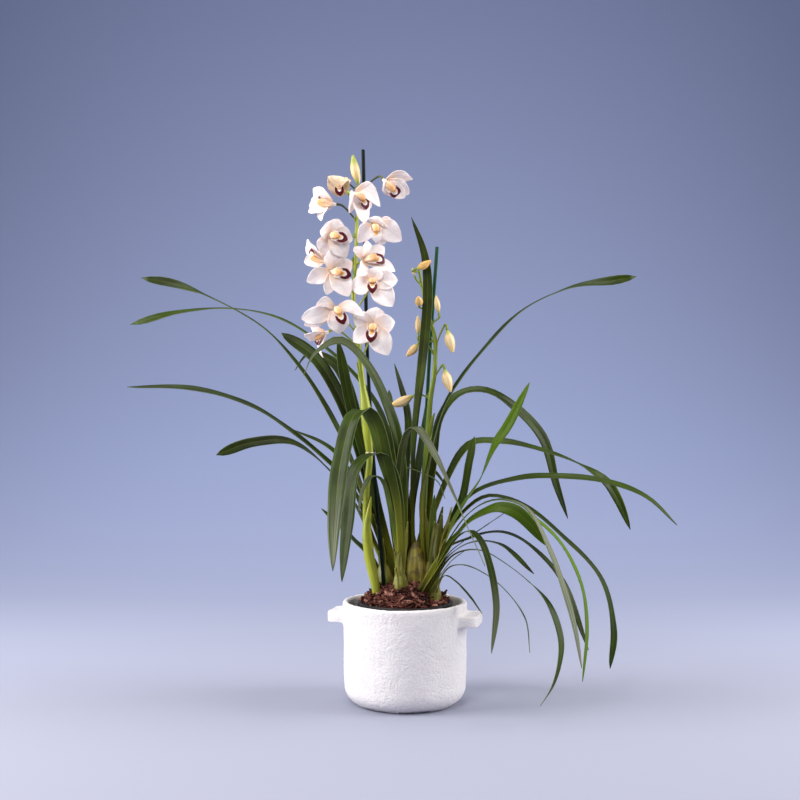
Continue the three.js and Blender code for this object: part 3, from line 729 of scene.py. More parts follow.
@dataclass(frozen=True)
class TepalFinish:
    """A waxy white tepal: faint pink veins, painted warm root shade and a cream flush where it is young."""

    name: str
    white: Colour
    blush: Colour
    peach_root_shade: Colour = colour(0.86, 0.62, 0.46)
    cream: Colour = colour(0.74, 0.53, 0.31)

    def material(self) -> bpy.types.Material:
        """Builds the finish.

        Returns:
            Its material.
        """
        recipe = Recipe(self.name, self.white, Roughness=0.5, Specular_IOR_Level=0.35, Sheen_Weight=0.15,
                        Subsurface_Weight=0.25, Subsurface_Scale=0.003, Subsurface_Radius=(1.0, 0.7, 0.6))
        off_middle, veins = recipe.off_middle(), recipe.grain(26, 2.2)
        recipe.wash(self.blush, recipe.noise(90, detail=2), 0.4, 0.75, 0.0, 0.6)
        recipe.wash(self.blush, veins, 0.46, 0.62, 0.0, 0.3)
        # Painted shade: a warm shade laid over the tepal from its root, towards the flower's centre.
        recipe.wash(self.peach_root_shade, recipe.uv()[1], 0.0, 0.42, 0.85, 0.0)
        recipe.wash(self.blush, off_middle, 0.0, 0.08, 0.45, 0.0)
        recipe.wash(self.blush, off_middle, 0.36, 0.5, 0.0, 0.3)
        recipe.wash(self.cream, recipe.stored("cream"))
        return recipe.finish((veins, 0.25, 0.0004), (recipe.noise(1800, detail=1), 0.08, 0.0001))


@dataclass(frozen=True)
class ColumnFinish:
    """The column: blush at its root, cream along it and an apricot cap."""

    blush: Colour = colour(0.90, 0.74, 0.65)
    cream: Colour = colour(0.87, 0.66, 0.46)
    cap: Colour = colour(0.80, 0.37, 0.10)

    def material(self) -> bpy.types.Material:
        """Builds the finish.

        Returns:
            Its material.
        """
        recipe = Recipe("column", self.blush, Roughness=0.42, Specular_IOR_Level=0.45,
                        Subsurface_Weight=0.2, Subsurface_Scale=0.002)
        along = recipe.uv()[1]
        recipe.wash(self.cream, along, 0.1, 0.5)
        recipe.wash(self.cap, recipe.grain(9, 1.2), 0.45, 0.65, 0.0, 0.6)
        recipe.wash(self.cap, along, 0.5, 0.9, 0.0, 0.85)
        return recipe.finish((recipe.noise(500, detail=2), 0.2, 0.0003))


@dataclass(frozen=True)
class LipFinish:
    """The lip: white, a broad crimson margin round its front lobe, freckled sides and a yellow callus."""

    white: Colour = colour(0.86, 0.79, 0.78)
    rim: Colour = colour(0.85, 0.62, 0.66)
    crimson: Colour = colour(0.085, 0.001, 0.005)
    freckle: Colour = colour(0.12, 0.003, 0.012)
    yellow: Colour = colour(0.86, 0.50, 0.14)

    def material(self) -> bpy.types.Material:
        """Builds the finish.

        Returns:
            Its material.
        """
        recipe = Recipe("lip", self.white, Roughness=0.5, Specular_IOR_Level=0.22)
        along, across, margin = recipe.uv()[1], recipe.stored("off_middle"), recipe.stored("margin")
        cells = recipe.add("ShaderNodeTexVoronoi", {"Vector": recipe.places.outputs["Object"], "Scale": 420})
        dots = recipe.ramp(cells.outputs[0], 0.15, 0.22, 1.0, 0.0)
        sides = recipe.sum("MULTIPLY", recipe.ramp(across, 0.3, 0.5), recipe.ramp(along, 0.12, 0.2))
        recipe.wash(self.freckle, recipe.sum("MULTIPLY", dots, sides))
        middle = recipe.ramp(across, 0.28, 0.42, 1.0, 0.0)
        recipe.wash(self.yellow, recipe.sum("MULTIPLY", middle, recipe.ramp(along, 0.55, 0.68, 1.0, 0.0)))
        ragged = recipe.sum("MULTIPLY_ADD", recipe.noise(260, detail=2), 1.6, -0.8)
        front = recipe.ramp(recipe.sum("ADD", along, recipe.sum("MULTIPLY", ragged, 0.06)), 0.46, 0.54)
        width = recipe.ramp(along, 0.5, 0.9, 3.2, 7.0)
        inside = recipe.sum("SUBTRACT", recipe.sum("ADD", margin, ragged), width)
        band = recipe.sum("MULTIPLY", recipe.ramp(inside, -0.35, 0.35, 1.0, 0.0), front)
        recipe.wash(self.crimson, recipe.sum("MULTIPLY", band, recipe.stored("banded")))
        recipe.wash(self.rim, margin, 0.1, 0.35, 0.7, 0.0)
        return recipe.finish((recipe.grain(18, 3), 0.25, 0.0004))


@dataclass(frozen=True)
class BudFinish:
    """A bud: waxy cream-yellow with darker seams, green where it joins its stalk."""

    straw: Colour = colour(0.80, 0.57, 0.26)
    cream: Colour = colour(0.86, 0.71, 0.45)
    amber: Colour = colour(0.74, 0.42, 0.10)
    green: Colour = colour(0.34, 0.40, 0.06)

    def material(self) -> bpy.types.Material:
        """Builds the finish.

        Returns:
            Its material.
        """
        recipe = Recipe("bud_skin", self.straw, Roughness=0.45, Specular_IOR_Level=0.45,
                        Subsurface_Weight=0.15, Subsurface_Scale=0.003)
        along, lines = recipe.uv()[1], recipe.grain(12, 1.5)
        recipe.wash(self.cream, lines, 0.42, 0.62)
        recipe.wash(self.amber, recipe.stored("warm"))
        recipe.wash(self.green, along, 0.08, 0.3, 1.0, 0.0)
        tip = recipe.ramp(along, 0.5, 0.8, 0.1, 0.95)
        recipe.wash(self.green, recipe.sum("MULTIPLY", tip, recipe.stored("green_tip")))
        return recipe.finish((lines, 0.3, 0.0005))


@dataclass(frozen=True)
class StudioPaper:
    """Plain pale paper under and behind the plant, greyer in front and bluer behind."""

    near: Colour = colour(0.31, 0.32, 0.395)
    far: Colour = colour(0.345, 0.405, 0.64)

    def material(self) -> bpy.types.Material:
        """Builds the finish.

        Returns:
            Its material.
        """
        recipe = Recipe("studio_paper", self.near, Roughness=0.9, Specular_IOR_Level=0.15)
        parts = recipe.add("ShaderNodeSeparateXYZ", {0: recipe.places.outputs["Object"]})
        drift = recipe.sum("MULTIPLY", recipe.noise(1.5, detail=1), 0.1)
        recipe.wash(self.far, recipe.sum("ADD", recipe.ramp(parts.outputs[1], -0.3, 2.4), drift))
        return recipe.finish()


class Palette:
    """One material for each finish, made once."""

    def __init__(self) -> None:
        """Builds the materials."""
        self.glaze = SandedGlaze().material()
        self.plastic = MouldedPlastic().material()
        self.bark = BarkFinish().material()
        self.cane = CoatedCane().material()
        self.leaf = LeafFinish(
            "leaf_face", deep=colour(0.008, 0.0115, 0.002), fresh=colour(0.10, 0.19, 0.006),
            base=colour(0.185, 0.19, 0.012), roughness=0.36).material()
        self.leaf_back = LeafFinish(
            "leaf_back", deep=colour(0.018, 0.023, 0.005), fresh=colour(0.15, 0.25, 0.014),
            base=colour(0.21, 0.215, 0.016), roughness=0.46).material()
        self.bulb = BulbFinish().material()
        self.old_sheath = StalkFinish(
            "old_sheath", green=colour(0.085, 0.10, 0.008), yellow=colour(0.36, 0.35, 0.03),
            dark=colour(0.05, 0.032, 0.010)).material()
        self.stalk = StalkFinish(
            "stalk_skin", green=colour(0.16, 0.25, 0.025), yellow=colour(0.44, 0.46, 0.022),
            dark=colour(0.010, 0.018, 0.007)).material()
        self.collar = StalkFinish(
            "papery_collar", green=colour(0.50, 0.48, 0.24), yellow=colour(0.66, 0.60, 0.40),
            dark=colour(0.25, 0.19, 0.09)).material()
        self.tepal = TepalFinish(
            "tepal_face", white=colour(0.94, 0.87, 0.86), blush=colour(0.87, 0.68, 0.68)).material()
        self.tepal_back = TepalFinish(
            "tepal_back", white=colour(0.92, 0.84, 0.83), blush=colour(0.85, 0.66, 0.66)).material()
        self.column = ColumnFinish().material()
        self.lip = LipFinish().material()
        self.bud = BudFinish().material()
        self.paper = StudioPaper().material()


# ---------- Pots, bark and canes ----------


@dataclass
class OuterPot:
    """The white pot: a thick hand-made cup with two slab lugs.

    Its walls lean out by the draft. A lug starts inside the cup, at the share lug_sunk of the rim, where
    it is wider by lug_flare. unevenness and crust are each the size of a swelling and its depth.
    """

    height: float = 0.142
    foot: float = 0.060
    corner: float = 0.025
    belly: float = 0.086
    belly_top: float = 0.080
    rim: float = 0.087
    wall: float = 0.0085
    floor: float = 0.009
    inner_corner: float = 0.018
    inner_top: float = 0.060
    draft: float = 0.001
    sides: int = 128
    lug_turn: float = -13.0
    lug_height: float = 0.119
    lug_reach: float = 0.107
    lug_width: float = 0.056
    lug_thick: float = 0.015
    lug_corner: float = 0.011
    lug_sunk: float = 0.8
    lug_flare: float = 1.2
    voxel: float = 0.0018
    softening: int = 7
    unevenness: tuple[float, float] = (0.045, 0.0020)
    crust: tuple[float, float] = (0.0045, 0.0010)

    def profile(self) -> list[tuple[float, float]]:
        """The cup's section.

        Returns:
            (radius, height) pairs from under its foot round to its inner floor.
        """
        lip, inner = self.wall / 2, self.rim - self.wall - self.draft
        bend = self.inner_corner
        return [
            (self.foot, 0.0),
            *arc((self.belly - self.corner - self.draft, self.corner), self.corner, -72, 0, 8),
            (self.belly, self.belly_top),
            *arc((self.rim - lip, self.height - lip), lip, 0, 180, 8),
            (inner, self.inner_top),
            *arc((inner - bend, self.floor + bend), bend, 0, -90, 6),
        ]

    def build_lug(self, side: float) -> Piece:
        """One lug.

        Args:
            side: 0 for the right one and 180 for the left one, in degrees.

        Returns:
            A rounded slab, cut away inside the cup.
        """
        bpy.ops.object.select_all(action="DESELECT")
        start = self.rim * self.lug_sunk
        bpy.ops.mesh.primitive_cube_add(size=1, location=(0, 0, 0))
        lug = new_piece("lug")
        size = Matrix.Diagonal((self.lug_reach - start, self.lug_width, self.lug_thick, 1))
        lug.data.transform(Matrix.Translation(((self.lug_reach + start) / 2, 0, self.lug_height)) @ size)
        for vertex in lug.data.vertices:
            if vertex.co.x < self.rim:
                vertex.co.y *= self.lug_flare
        upright = [len({round(lug.data.vertices[v].co.z, 6) for v in edge.vertices}) == 2
                   and all(lug.data.vertices[v].co.x > self.rim for v in edge.vertices)
                   for edge in lug.data.edges]
        bpy.ops.object.mode_set(mode="EDIT")
        bpy.ops.mesh.select_mode(type="EDGE")
        bpy.ops.mesh.select_all(action="DESELECT")
        bpy.ops.object.mode_set(mode="OBJECT")
        lug.data.edges.foreach_set("select", upright)
        bpy.ops.object.mode_set(mode="EDIT")
        bpy.ops.mesh.bevel(offset=self.lug_corner, segments=6, affect="EDGES")
        bpy.ops.object.mode_set(mode="OBJECT")
        lug.data.transform(Matrix.Rotation(math.radians(side + self.lug_turn), 4, "Z"))
        inside = self.rim - self.wall / 2
        bore = turned("bore", [(inside, 0.05), (inside, self.height + 0.02)], 64)
        return self.combine(lug, bore, "DIFFERENCE")

    @staticmethod
    def combine(piece: Piece, other: Piece, operation: str) -> Piece:
        """Joins another solid to a piece, or cuts it away.

        Args:
            piece: The piece.
            other: The other solid, which is then removed.
            operation: UNION or DIFFERENCE.

        Returns:
            The piece.
        """
        modifier = piece.modifiers.new("combine", "BOOLEAN")
        modifier.operation = operation
        modifier.object = other
        modifier.solver = "EXACT"
        select_only([piece])
        bpy.ops.object.modifier_apply(modifier=modifier.name)
        bpy.data.objects.remove(other)
        return piece

    def roughen(self, pot: Piece) -> None:
        """Softens the joins as wet clay does, and makes the walls a little uneven.

        Args:
            pot: The cup with its lugs.
        """
        remesh = pot.modifiers.new("clay", "REMESH")
        remesh.mode = "VOXEL"
        remesh.voxel_size = self.voxel
        soften = pot.modifiers.new("soften", "SMOOTH")
        soften.factor = 0.5
        soften.iterations = self.softening
        for name, (size, depth) in (("hand_made", self.unevenness), ("crust", self.crust)):
            texture = bpy.data.textures.new(name, "CLOUDS")
            texture.noise_scale = size
            texture.noise_depth = 2
            modifier = pot.modifiers.new(name, "DISPLACE")
            modifier.texture = texture
            modifier.texture_coords = "LOCAL"
            modifier.strength = depth
            modifier.mid_level = 0.55
        smoothed(pot)
        for vertex in pot.data.vertices:
            if vertex.co.z < self.voxel:
                vertex.co.z = max(0.0, vertex.co.z - self.voxel * 0.5)

    def build(self, palette: Palette) -> None:
        """Builds and dresses the pot.

        Args:
            palette: The finishes.
        """
        pot = turned("white_pot", self.profile(), self.sides)
        for side in (0.0, 180.0):
            self.combine(pot, self.build_lug(side), "UNION")
        self.roughen(pot)
        install(dress(pot, palette.glaze), Slot.GLAZE, "pot")


@dataclass
class NurseryPot:
    """The thin black pot that stands inside the white one."""

    bottom: float = 0.047
    top: float = 0.064
    height: float = 0.1405
    wall: float = 0.0013
    rim: float = 0.0022
    rim_depth: float = 0.006
    bevel: float = 0.0006
    heel: float = 0.002
    drain: float = 0.009
    floor: float = 0.0093
    sides: int = 96
    sharp: float = 40.0

    def build(self, palette: Palette) -> None:
        """Builds and dresses the nursery pot.

        Args:
            palette: The finishes.
        """
        outer, lip = self.top + self.rim, self.height - self.rim_depth
        profile = [
            (self.drain, self.floor), (self.bottom - self.heel, self.floor),
            (self.bottom, self.floor + self.heel), (self.top, lip), (outer - 0.0005, lip),
            (outer, lip + self.bevel), (outer, self.height - self.bevel),
            (outer - self.bevel, self.height), (self.top - self.wall, self.height),
            (self.bottom - self.wall, self.floor + self.wall), (self.drain, self.floor + self.wall),
            (self.drain, self.floor),
        ]
        pot = turned("black_nursery_pot", profile, self.sides, open_ring=True)
        select_only([pot])
        bpy.ops.object.shade_smooth_by_angle(angle=math.radians(self.sharp))
        install(dress(pot, palette.plastic), Slot.BLACK_PLASTIC, "nursery_pot")


@dataclass
class BarkBed:
    """Bark that fills the nursery pot, with loose chips, curls and one twig on top.

    The core's side rises from low to shoulder, and its top is uneven by the depth lumps.
    """

    top: float = 0.163
    edge: float = 0.136
    shoulder: float = 0.126
    radius: float = 0.0620
    bottom: float = 0.0455
    low: float = 0.0109
    rings: int = 24
    sides: int = 72
    lumps: float = 0.005
    spread: float = 0.955
    chips: int = 760
    curls: int = 300
    curl_size: tuple[float, float] = (0.008, 0.02)
    length: tuple[float, float] = (0.004, 0.014)
    width: tuple[float, float] = (0.002, 0.0055)
    thick: tuple[float, float] = (0.0012, 0.0034)

    def height_at(self, away: float) -> float:
        """The mound's height at a distance from the middle."""
        return mix(self.top, self.edge, min(1.0, away / self.radius) ** 2.4)

    def build_core(self) -> Piece:
        """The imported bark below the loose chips.

        Returns:
            The closed core.
        """
        steps = [(1 - i / self.rings) * self.radius for i in range(self.rings)]
        rise = [(away, self.height_at(away)) for away in steps]
        profile = [(self.bottom, self.low), (self.radius, self.shoulder), *rise]
        core = turned("bark_core", profile, self.sides)
        for vertex in core.data.vertices:
            if vertex.co.z > self.edge - 0.004:
                vertex.co.z += self.lumps * (noise.noise(vertex.co * 160) - 0.2)
        return tint(core, shade=0.12)

    def build_chip(self, seed: int) -> Piece:
        """One ragged chip of unit length, with a few dozen faces.

        Args:
            seed: Which chip.

        Returns:
            The chip, at the origin.
        """
        bpy.ops.object.select_all(action="DESELECT")
        bpy.ops.mesh.primitive_cube_add(size=1)
        chip = new_piece(f"chip_{seed}")
        bpy.ops.object.mode_set(mode="EDIT")
        bpy.ops.mesh.select_all(action="SELECT")
        bpy.ops.mesh.subdivide(number_cuts=1)
        bpy.ops.object.mode_set(mode="OBJECT")
        for vertex in chip.data.vertices:
            shove = noise.noise_vector(vertex.co * 1.7 + Vector((seed * 7.3, seed * 3.1, 0)))
            taper = 1 - 0.5 * max(0.0, vertex.co.x)
            vertex.co = Vector((vertex.co.x, vertex.co.y * taper, vertex.co.z * taper)) + shove * 0.28
        return chip

    def build_curl(self, seed: int) -> Piece:
        """One curled fibre of unit length.

        Args:
            seed: Which fibre; each is more bent than the last.

        Returns:
            The fibre, at the origin.
        """
        bend = 0.15 + 0.12 * seed
        route = Route([Vector((-0.5, 0, 0)), Vector((-0.1, bend * 0.6, 0.1)), Vector((0.2, bend, -0.05)),
                       Vector((0.5, bend * 0.2, 0.08))])
        return swept(f"curl_{seed}", route, lambda share, _: 0.035 * (1.1 - share), 4, 5)

    def scatter(self, kinds: list[Piece], count: int, sizes: Callable[[random.Random], Vector],
                draw: random.Random) -> list[Piece]:
        """Copies pieces over the mound, spread evenly over its area.

        Args:
            kinds: The pieces to copy, which are then removed.
            count: How many copies.
            sizes: Draws a copy's scale along X, Y and Z.
            draw: The random numbers.

        Returns:
            The copies, each with its own mesh.
        """
        copies = []
        for i in range(count):
            copy = kinds[i % len(kinds)].copy()
            copy.data = copy.data.copy()
            bpy.context.scene.collection.objects.link(copy)
            away, angle = self.radius * self.spread * math.sqrt(draw.random()), draw.uniform(0, math.tau)
            lift = draw.uniform(-0.001, 0.0045)
            place = Vector((away * math.cos(angle), away * math.sin(angle), self.height_at(away) + lift))
            turn = Matrix.Rotation(draw.uniform(0, math.tau), 4, "Z")
            turn = turn @ Matrix.Rotation(draw.gauss(0, 0.5), 4, "Y")
            turn = turn @ Matrix.Rotation(draw.gauss(0, 0.6), 4, "X")
            scale = Matrix.Diagonal((*sizes(draw), 1))
            copy.data.transform(Matrix.Translation(place) @ turn @ scale)
            tint(copy, shade=min(1.0, max(0.0, draw.gauss(0.5, 0.32))))
            copies.append(copy)
        for kind in kinds:
            bpy.data.objects.remove(kind)
        return copies

    def build(self, palette: Palette) -> None:
        """Builds and dresses the bark.

        Args:
            palette: The finishes.
        """
        draw = random.Random(SEED)
        sides = (self.length, self.width, self.thick)
        chips = self.scatter([self.build_chip(seed) for seed in range(6)], self.chips,
                             lambda r: Vector([r.uniform(*side) for side in sides]), draw)
        curls = self.scatter([self.build_curl(seed) for seed in range(5)], self.curls,
                             lambda r: Vector((1, 1, 1)) * r.uniform(*self.curl_size), draw)
        twig_route = Route([mm((38, -18, 146)), mm((50, -22, 152)), mm((58, -24, 160))])
        twig = swept("twig", twig_route, lambda share, _: mix(2.1, 1.3, share) * MM, 8, 8)
        tint(twig, shade=0.05)
        bed = joined("bark_chips", [self.build_core(), *chips, *curls, twig])
        install(dress(bed, palette.bark), Slot.BARK, "substrate")


@dataclass
class Cane:
    """A coated cane that holds up a spike."""

    node: str
    route: list[Numbers]
    fresh: float = 0.0
    radius: float = 0.0025

    CHAMFER = 0.0012
    SIDES = 20
    ROWS = 120

    def width_at(self, share: float, _: float) -> float:
        """The radius: the ends have a small chamfer, and the coat is slightly uneven."""
        uneven = 1 + 0.03 * math.sin(share * 90) * math.sin(share * 37)
        return self.radius * (0.75 if share in (0.0, 1.0) else 1.0) * uneven

    def build(self, palette: Palette) -> None:
        """Builds and dresses the cane.

        Args:
            palette: The finishes.
        """
        route = Route([mm(p) for p in self.route])
        cane = swept(f"coated_{self.node}", route, self.width_at, self.SIDES, self.ROWS, blunt=self.CHAMFER)
        install(tint(dress(smoothed(cane), palette.cane), fresh=self.fresh), Slot.STAKE, self.node)


# ---------- Leaves ----------


@dataclass
class Leaf:
    """A strap leaf along a route in millimetres; its root, which lies in the bulb, is left out.

    roll turns the blade about its own length, from keys spread along it, in degrees. heading is given
    where the leaf stands too upright to have one of its own. taper is where it starts to narrow to its
    tip, and foot how wide it is at its root. fresh is how bright a green it is. The last two fields give
    how strongly it shines with painted sheen, a pale grey painted highlight laid in streaks, and the
    share of the way along from which that starts.
    """

    route: list[Numbers]
    width: float = 17
    roll: Numbers = (0, 0)
    heading: float | None = None
    taper: float = 0.72
    foot: float = 0.82
    fresh: float | None = None
    silver: float = 0.0
    silver_from: float = 0.6

    FOLD_BASE = 56
    FOLD_TIP = 12
    NARROW = 13
    ROWS = 46
    COLUMNS = 8
    THICK = 0.00085

    def outline(self, share: float) -> float:
        """The blade's outline.

        Args:
            share: A place from its root to its tip.

        Returns:
            Its half width there, as a share of the greatest.
        """
        widening = mix(self.foot, 1, smoothstep(0, 0.4, share))
        narrowed = max(0.0, share - self.taper) / (1 - self.taper)
        return widening * max(0.0, 1 - narrowed**2) ** 0.7

    def rows(self, root: Vector, draw: random.Random) -> list[tuple[Ring, float, float]]:
        """The blade's rows: each one's place, half width and fold.

        Args:
            root: Where it starts, in millimetres.
            draw: The random numbers.

        Returns:
            A row for each step along the blade.
        """
        route = Route([mm(root), *[mm(p) for p in self.route]])
        ends = Vector(self.route[-1]) - root
        turn = math.atan2(ends.y, ends.x) if self.heading is None else math.radians(self.heading)
        level = Vector((-math.sin(turn), math.cos(turn), 0))
        sway = draw.uniform(0, 9)
        made = []
        for i in range(self.ROWS + 1):
            along = i / self.ROWS
            tangent = route.tangent(along)
            side = (level - tangent * level.dot(tangent)).normalized()
            waver = 4 * math.sin(along * 11 + sway) * smoothstep(0.1, 0.4, along)
            side = Matrix.Rotation(math.radians(keyed(self.roll, along) + waver), 3, tangent) @ side
            half = max(0.5, self.width * self.outline(along)) * MM / 2
            fold = math.radians(mix(self.FOLD_BASE, self.FOLD_TIP, smoothstep(0, 0.6, along)))
            made.append((Ring(route.at(along), side, tangent.cross(side)), half, fold))
        return made

    def build(self, name: str, root: Vector, draw: random.Random, palette: Palette) -> Piece:
        """Builds and dresses the leaf.

        Args:
            name: Its name while it is on its own.
            root: Where it starts, in millimetres.
            draw: The random numbers.
            palette: The finishes.

        Returns:
            The leaf.
        """
        rows = self.rows(root, draw)
        narrow = self.width < self.NARROW
        ripple = draw.uniform(0, 9)

        def place(across: float, row: int) -> Vector:
            """The blade's surface.

            Args:
                across: A share from edge to edge.
                row: A row from its root to its tip.

            Returns:
                The point there.
            """
            ring, half, fold = rows[row]
            off = 1 - 2 * across
            keel = math.sqrt(off * off + 0.02) - 0.1
            rise = (0.6 + 0.4 * keel if narrow else keel) * half * math.sin(fold)
            droop = -0.10 * half * off**4
            wave = 0.035 * half * off * off * math.sin(row * 0.9 + ripple + off)
            return ring.centre + ring.side * (off * half * math.cos(fold)) + ring.up * (rise + droop + wave)

        blade = dress(shaped_grid(name, self.COLUMNS, self.ROWS, place), palette.leaf, palette.leaf_back)
        thicken(blade, self.THICK)
        fresh = draw.uniform(0.0, 0.22) if self.fresh is None else self.fresh
        return tint(blade, fresh=fresh, silver=self.silver, silver_from=self.silver_from)


@dataclass
class Shoot:
    """A pseudobulb, the old sheaths that wrap it, and the leaves that grow from it.

    fan is given where the leaves fan out in front of the bulb: the line from the root of the highest
    leaf to the root of the lowest, in millimetres.
    """

    at: Numbers
    radius: float
    top: float
    leaves: list[Leaf]
    fan: tuple[Numbers, Numbers] | None = None

    LOW = 138
    ROOT_HEIGHT = 168
    ROOT_SHARE = 0.7
    GIRTHS = (0.7, 0.86, 1.0, 0.98, 0.86, 0.62, 0.22)
    SIDES = 36
    ROWS = 22
    RIDGES = 9
    SHEATHS = 10
    SHEATH_ROWS = 18
    SHEATH_COLUMNS = 8
    SHEATH_CORE = 0.0045
    SHEATH_GAP = 0.0012
    SHEATH_DISH = 0.0016
    BARK_TOP = 0.146

    def middle(self, height: float) -> Vector:
        """The bulb's middle line at a height in millimetres."""
        return mm((*self.at, height))

    def root(self, leaf: Leaf) -> Vector:
        """Where a leaf starts.

        Args:
            leaf: The leaf.

        Returns:
            The place of its root, in millimetres.
        """
        first = Vector(leaf.route[0])
        if self.fan:
            heights = [other.route[0][2] for other in self.leaves]
            share = (max(heights) - first.z) / (max(heights) - min(heights))
            return Vector(self.fan[0]).lerp(Vector(self.fan[1]), share)
        out = Vector((first.x - self.at[0], first.y - self.at[1]))
        share = min(self.ROOT_SHARE, out.length / (first.z - self.ROOT_HEIGHT))
        spot = out.normalized() * share * self.radius + Vector(self.at)
        return Vector((spot.x, spot.y, self.ROOT_HEIGHT))

    def girth(self, share: float) -> float:
        """The bulb's radius a share of the way up, in metres."""
        return self.radius * keyed(self.GIRTHS, share) * MM

    def build_bulb(self, name: str, palette: Palette) -> Piece:
        """The ridged pseudobulb.

        Args:
            name: The shoot's name.
            palette: The finishes.

        Returns:
            The bulb.
        """
        def width_at(share: float, angle: float) -> float:
            """The radius at a share of the way up and an angle."""
            return self.girth(share) * (1 + 0.035 * math.sin(angle * self.RIDGES))

        route = Route([self.middle(self.LOW), self.middle(self.top)])
        return dress(smoothed(swept(f"{name}_bulb", route, width_at, self.SIDES, self.ROWS)), palette.bulb)

    def build_sheath(self, name: str, turn: float, rise: float, draw: random.Random,
                     palette: Palette) -> Piece:
        """An old pointed sheath that hugs the bulb and leans out at its tip.

        Args:
            name: Its name while it is on its own.
            turn: The direction that it faces, in radians.
            rise: How far it reaches above the bark, in metres.
            draw: The random numbers.
            palette: The finishes.

        Returns:
            The sheath.
        """
        half_angle = draw.uniform(0.7, 1.15)
        lean = draw.uniform(0.04, 0.17)
        sway = draw.uniform(-0.25, 0.25)

        def place(across: float, row: int) -> Vector:
            """The sheath's surface.

            Args:
                across: A share from edge to edge.
                row: A row from its foot to its tip.

            Returns:
                The point there.
            """
            share = row / self.SHEATH_ROWS
            height = self.BARK_TOP + rise * share
            bulb_share = (height / MM - self.LOW) / (self.top - self.LOW)
            spread = half_angle * (1 - share**1.7) + 0.03
            angle = turn + (across - 0.5) * 2 * spread + sway * share
            core = max(self.girth(min(1.0, bulb_share)), self.SHEATH_CORE)
            away = core + self.SHEATH_GAP + rise * lean * share**2
            away -= self.SHEATH_DISH * (1 - abs(2 * across - 1)) * share
            return self.middle(0) + Vector((away * math.cos(angle), away * math.sin(angle), height))

        sheath = dress(shaped_grid(name, self.SHEATH_COLUMNS, self.SHEATH_ROWS, place), palette.old_sheath)
        thicken(sheath, Leaf.THICK, back_slot=0)
        return tint(sheath, fresh=draw.uniform(0.0, 0.9), dusk=draw.uniform(0.0, 0.3))

    def build(self, node: str, palette: Palette) -> None:
        """Builds and dresses the shoot.

        Args:
            node: The CAD node that it stands for.
            palette: The finishes.
        """
        draw = random.Random(node)
        name = node.replace("shoot", "foliage")
        parts = [self.build_bulb(name, palette)]
        for i, leaf in enumerate(self.leaves):
            parts.append(leaf.build(f"{name}_leaf_{i}", self.root(leaf), draw, palette))
        for i in range(self.SHEATHS):
            first = Vector(self.leaves[i % len(self.leaves)].route[0])
            turn = math.atan2(first.y - self.at[1], first.x - self.at[0]) + draw.uniform(-0.9, 0.9)
            rise = draw.uniform(0.04, 0.07) if i % 2 else draw.uniform(0.08, 0.13)
            parts.append(self.build_sheath(f"{name}_sheath_{i}", turn, rise, draw, palette))
        install(joined(name, parts), Slot.LEAF, node)


# ---------- Flowers ----------


@dataclass
class Stalk:
    """The stalk of a flower or a bud: where it starts and ends, and how yellow and how dark it is.

    start is the height in millimetres at which it leaves the stem, and along its direction at its end.
    """

    start: float
    end: Vector
    along: Vector
    fresh: float
    dusk: float


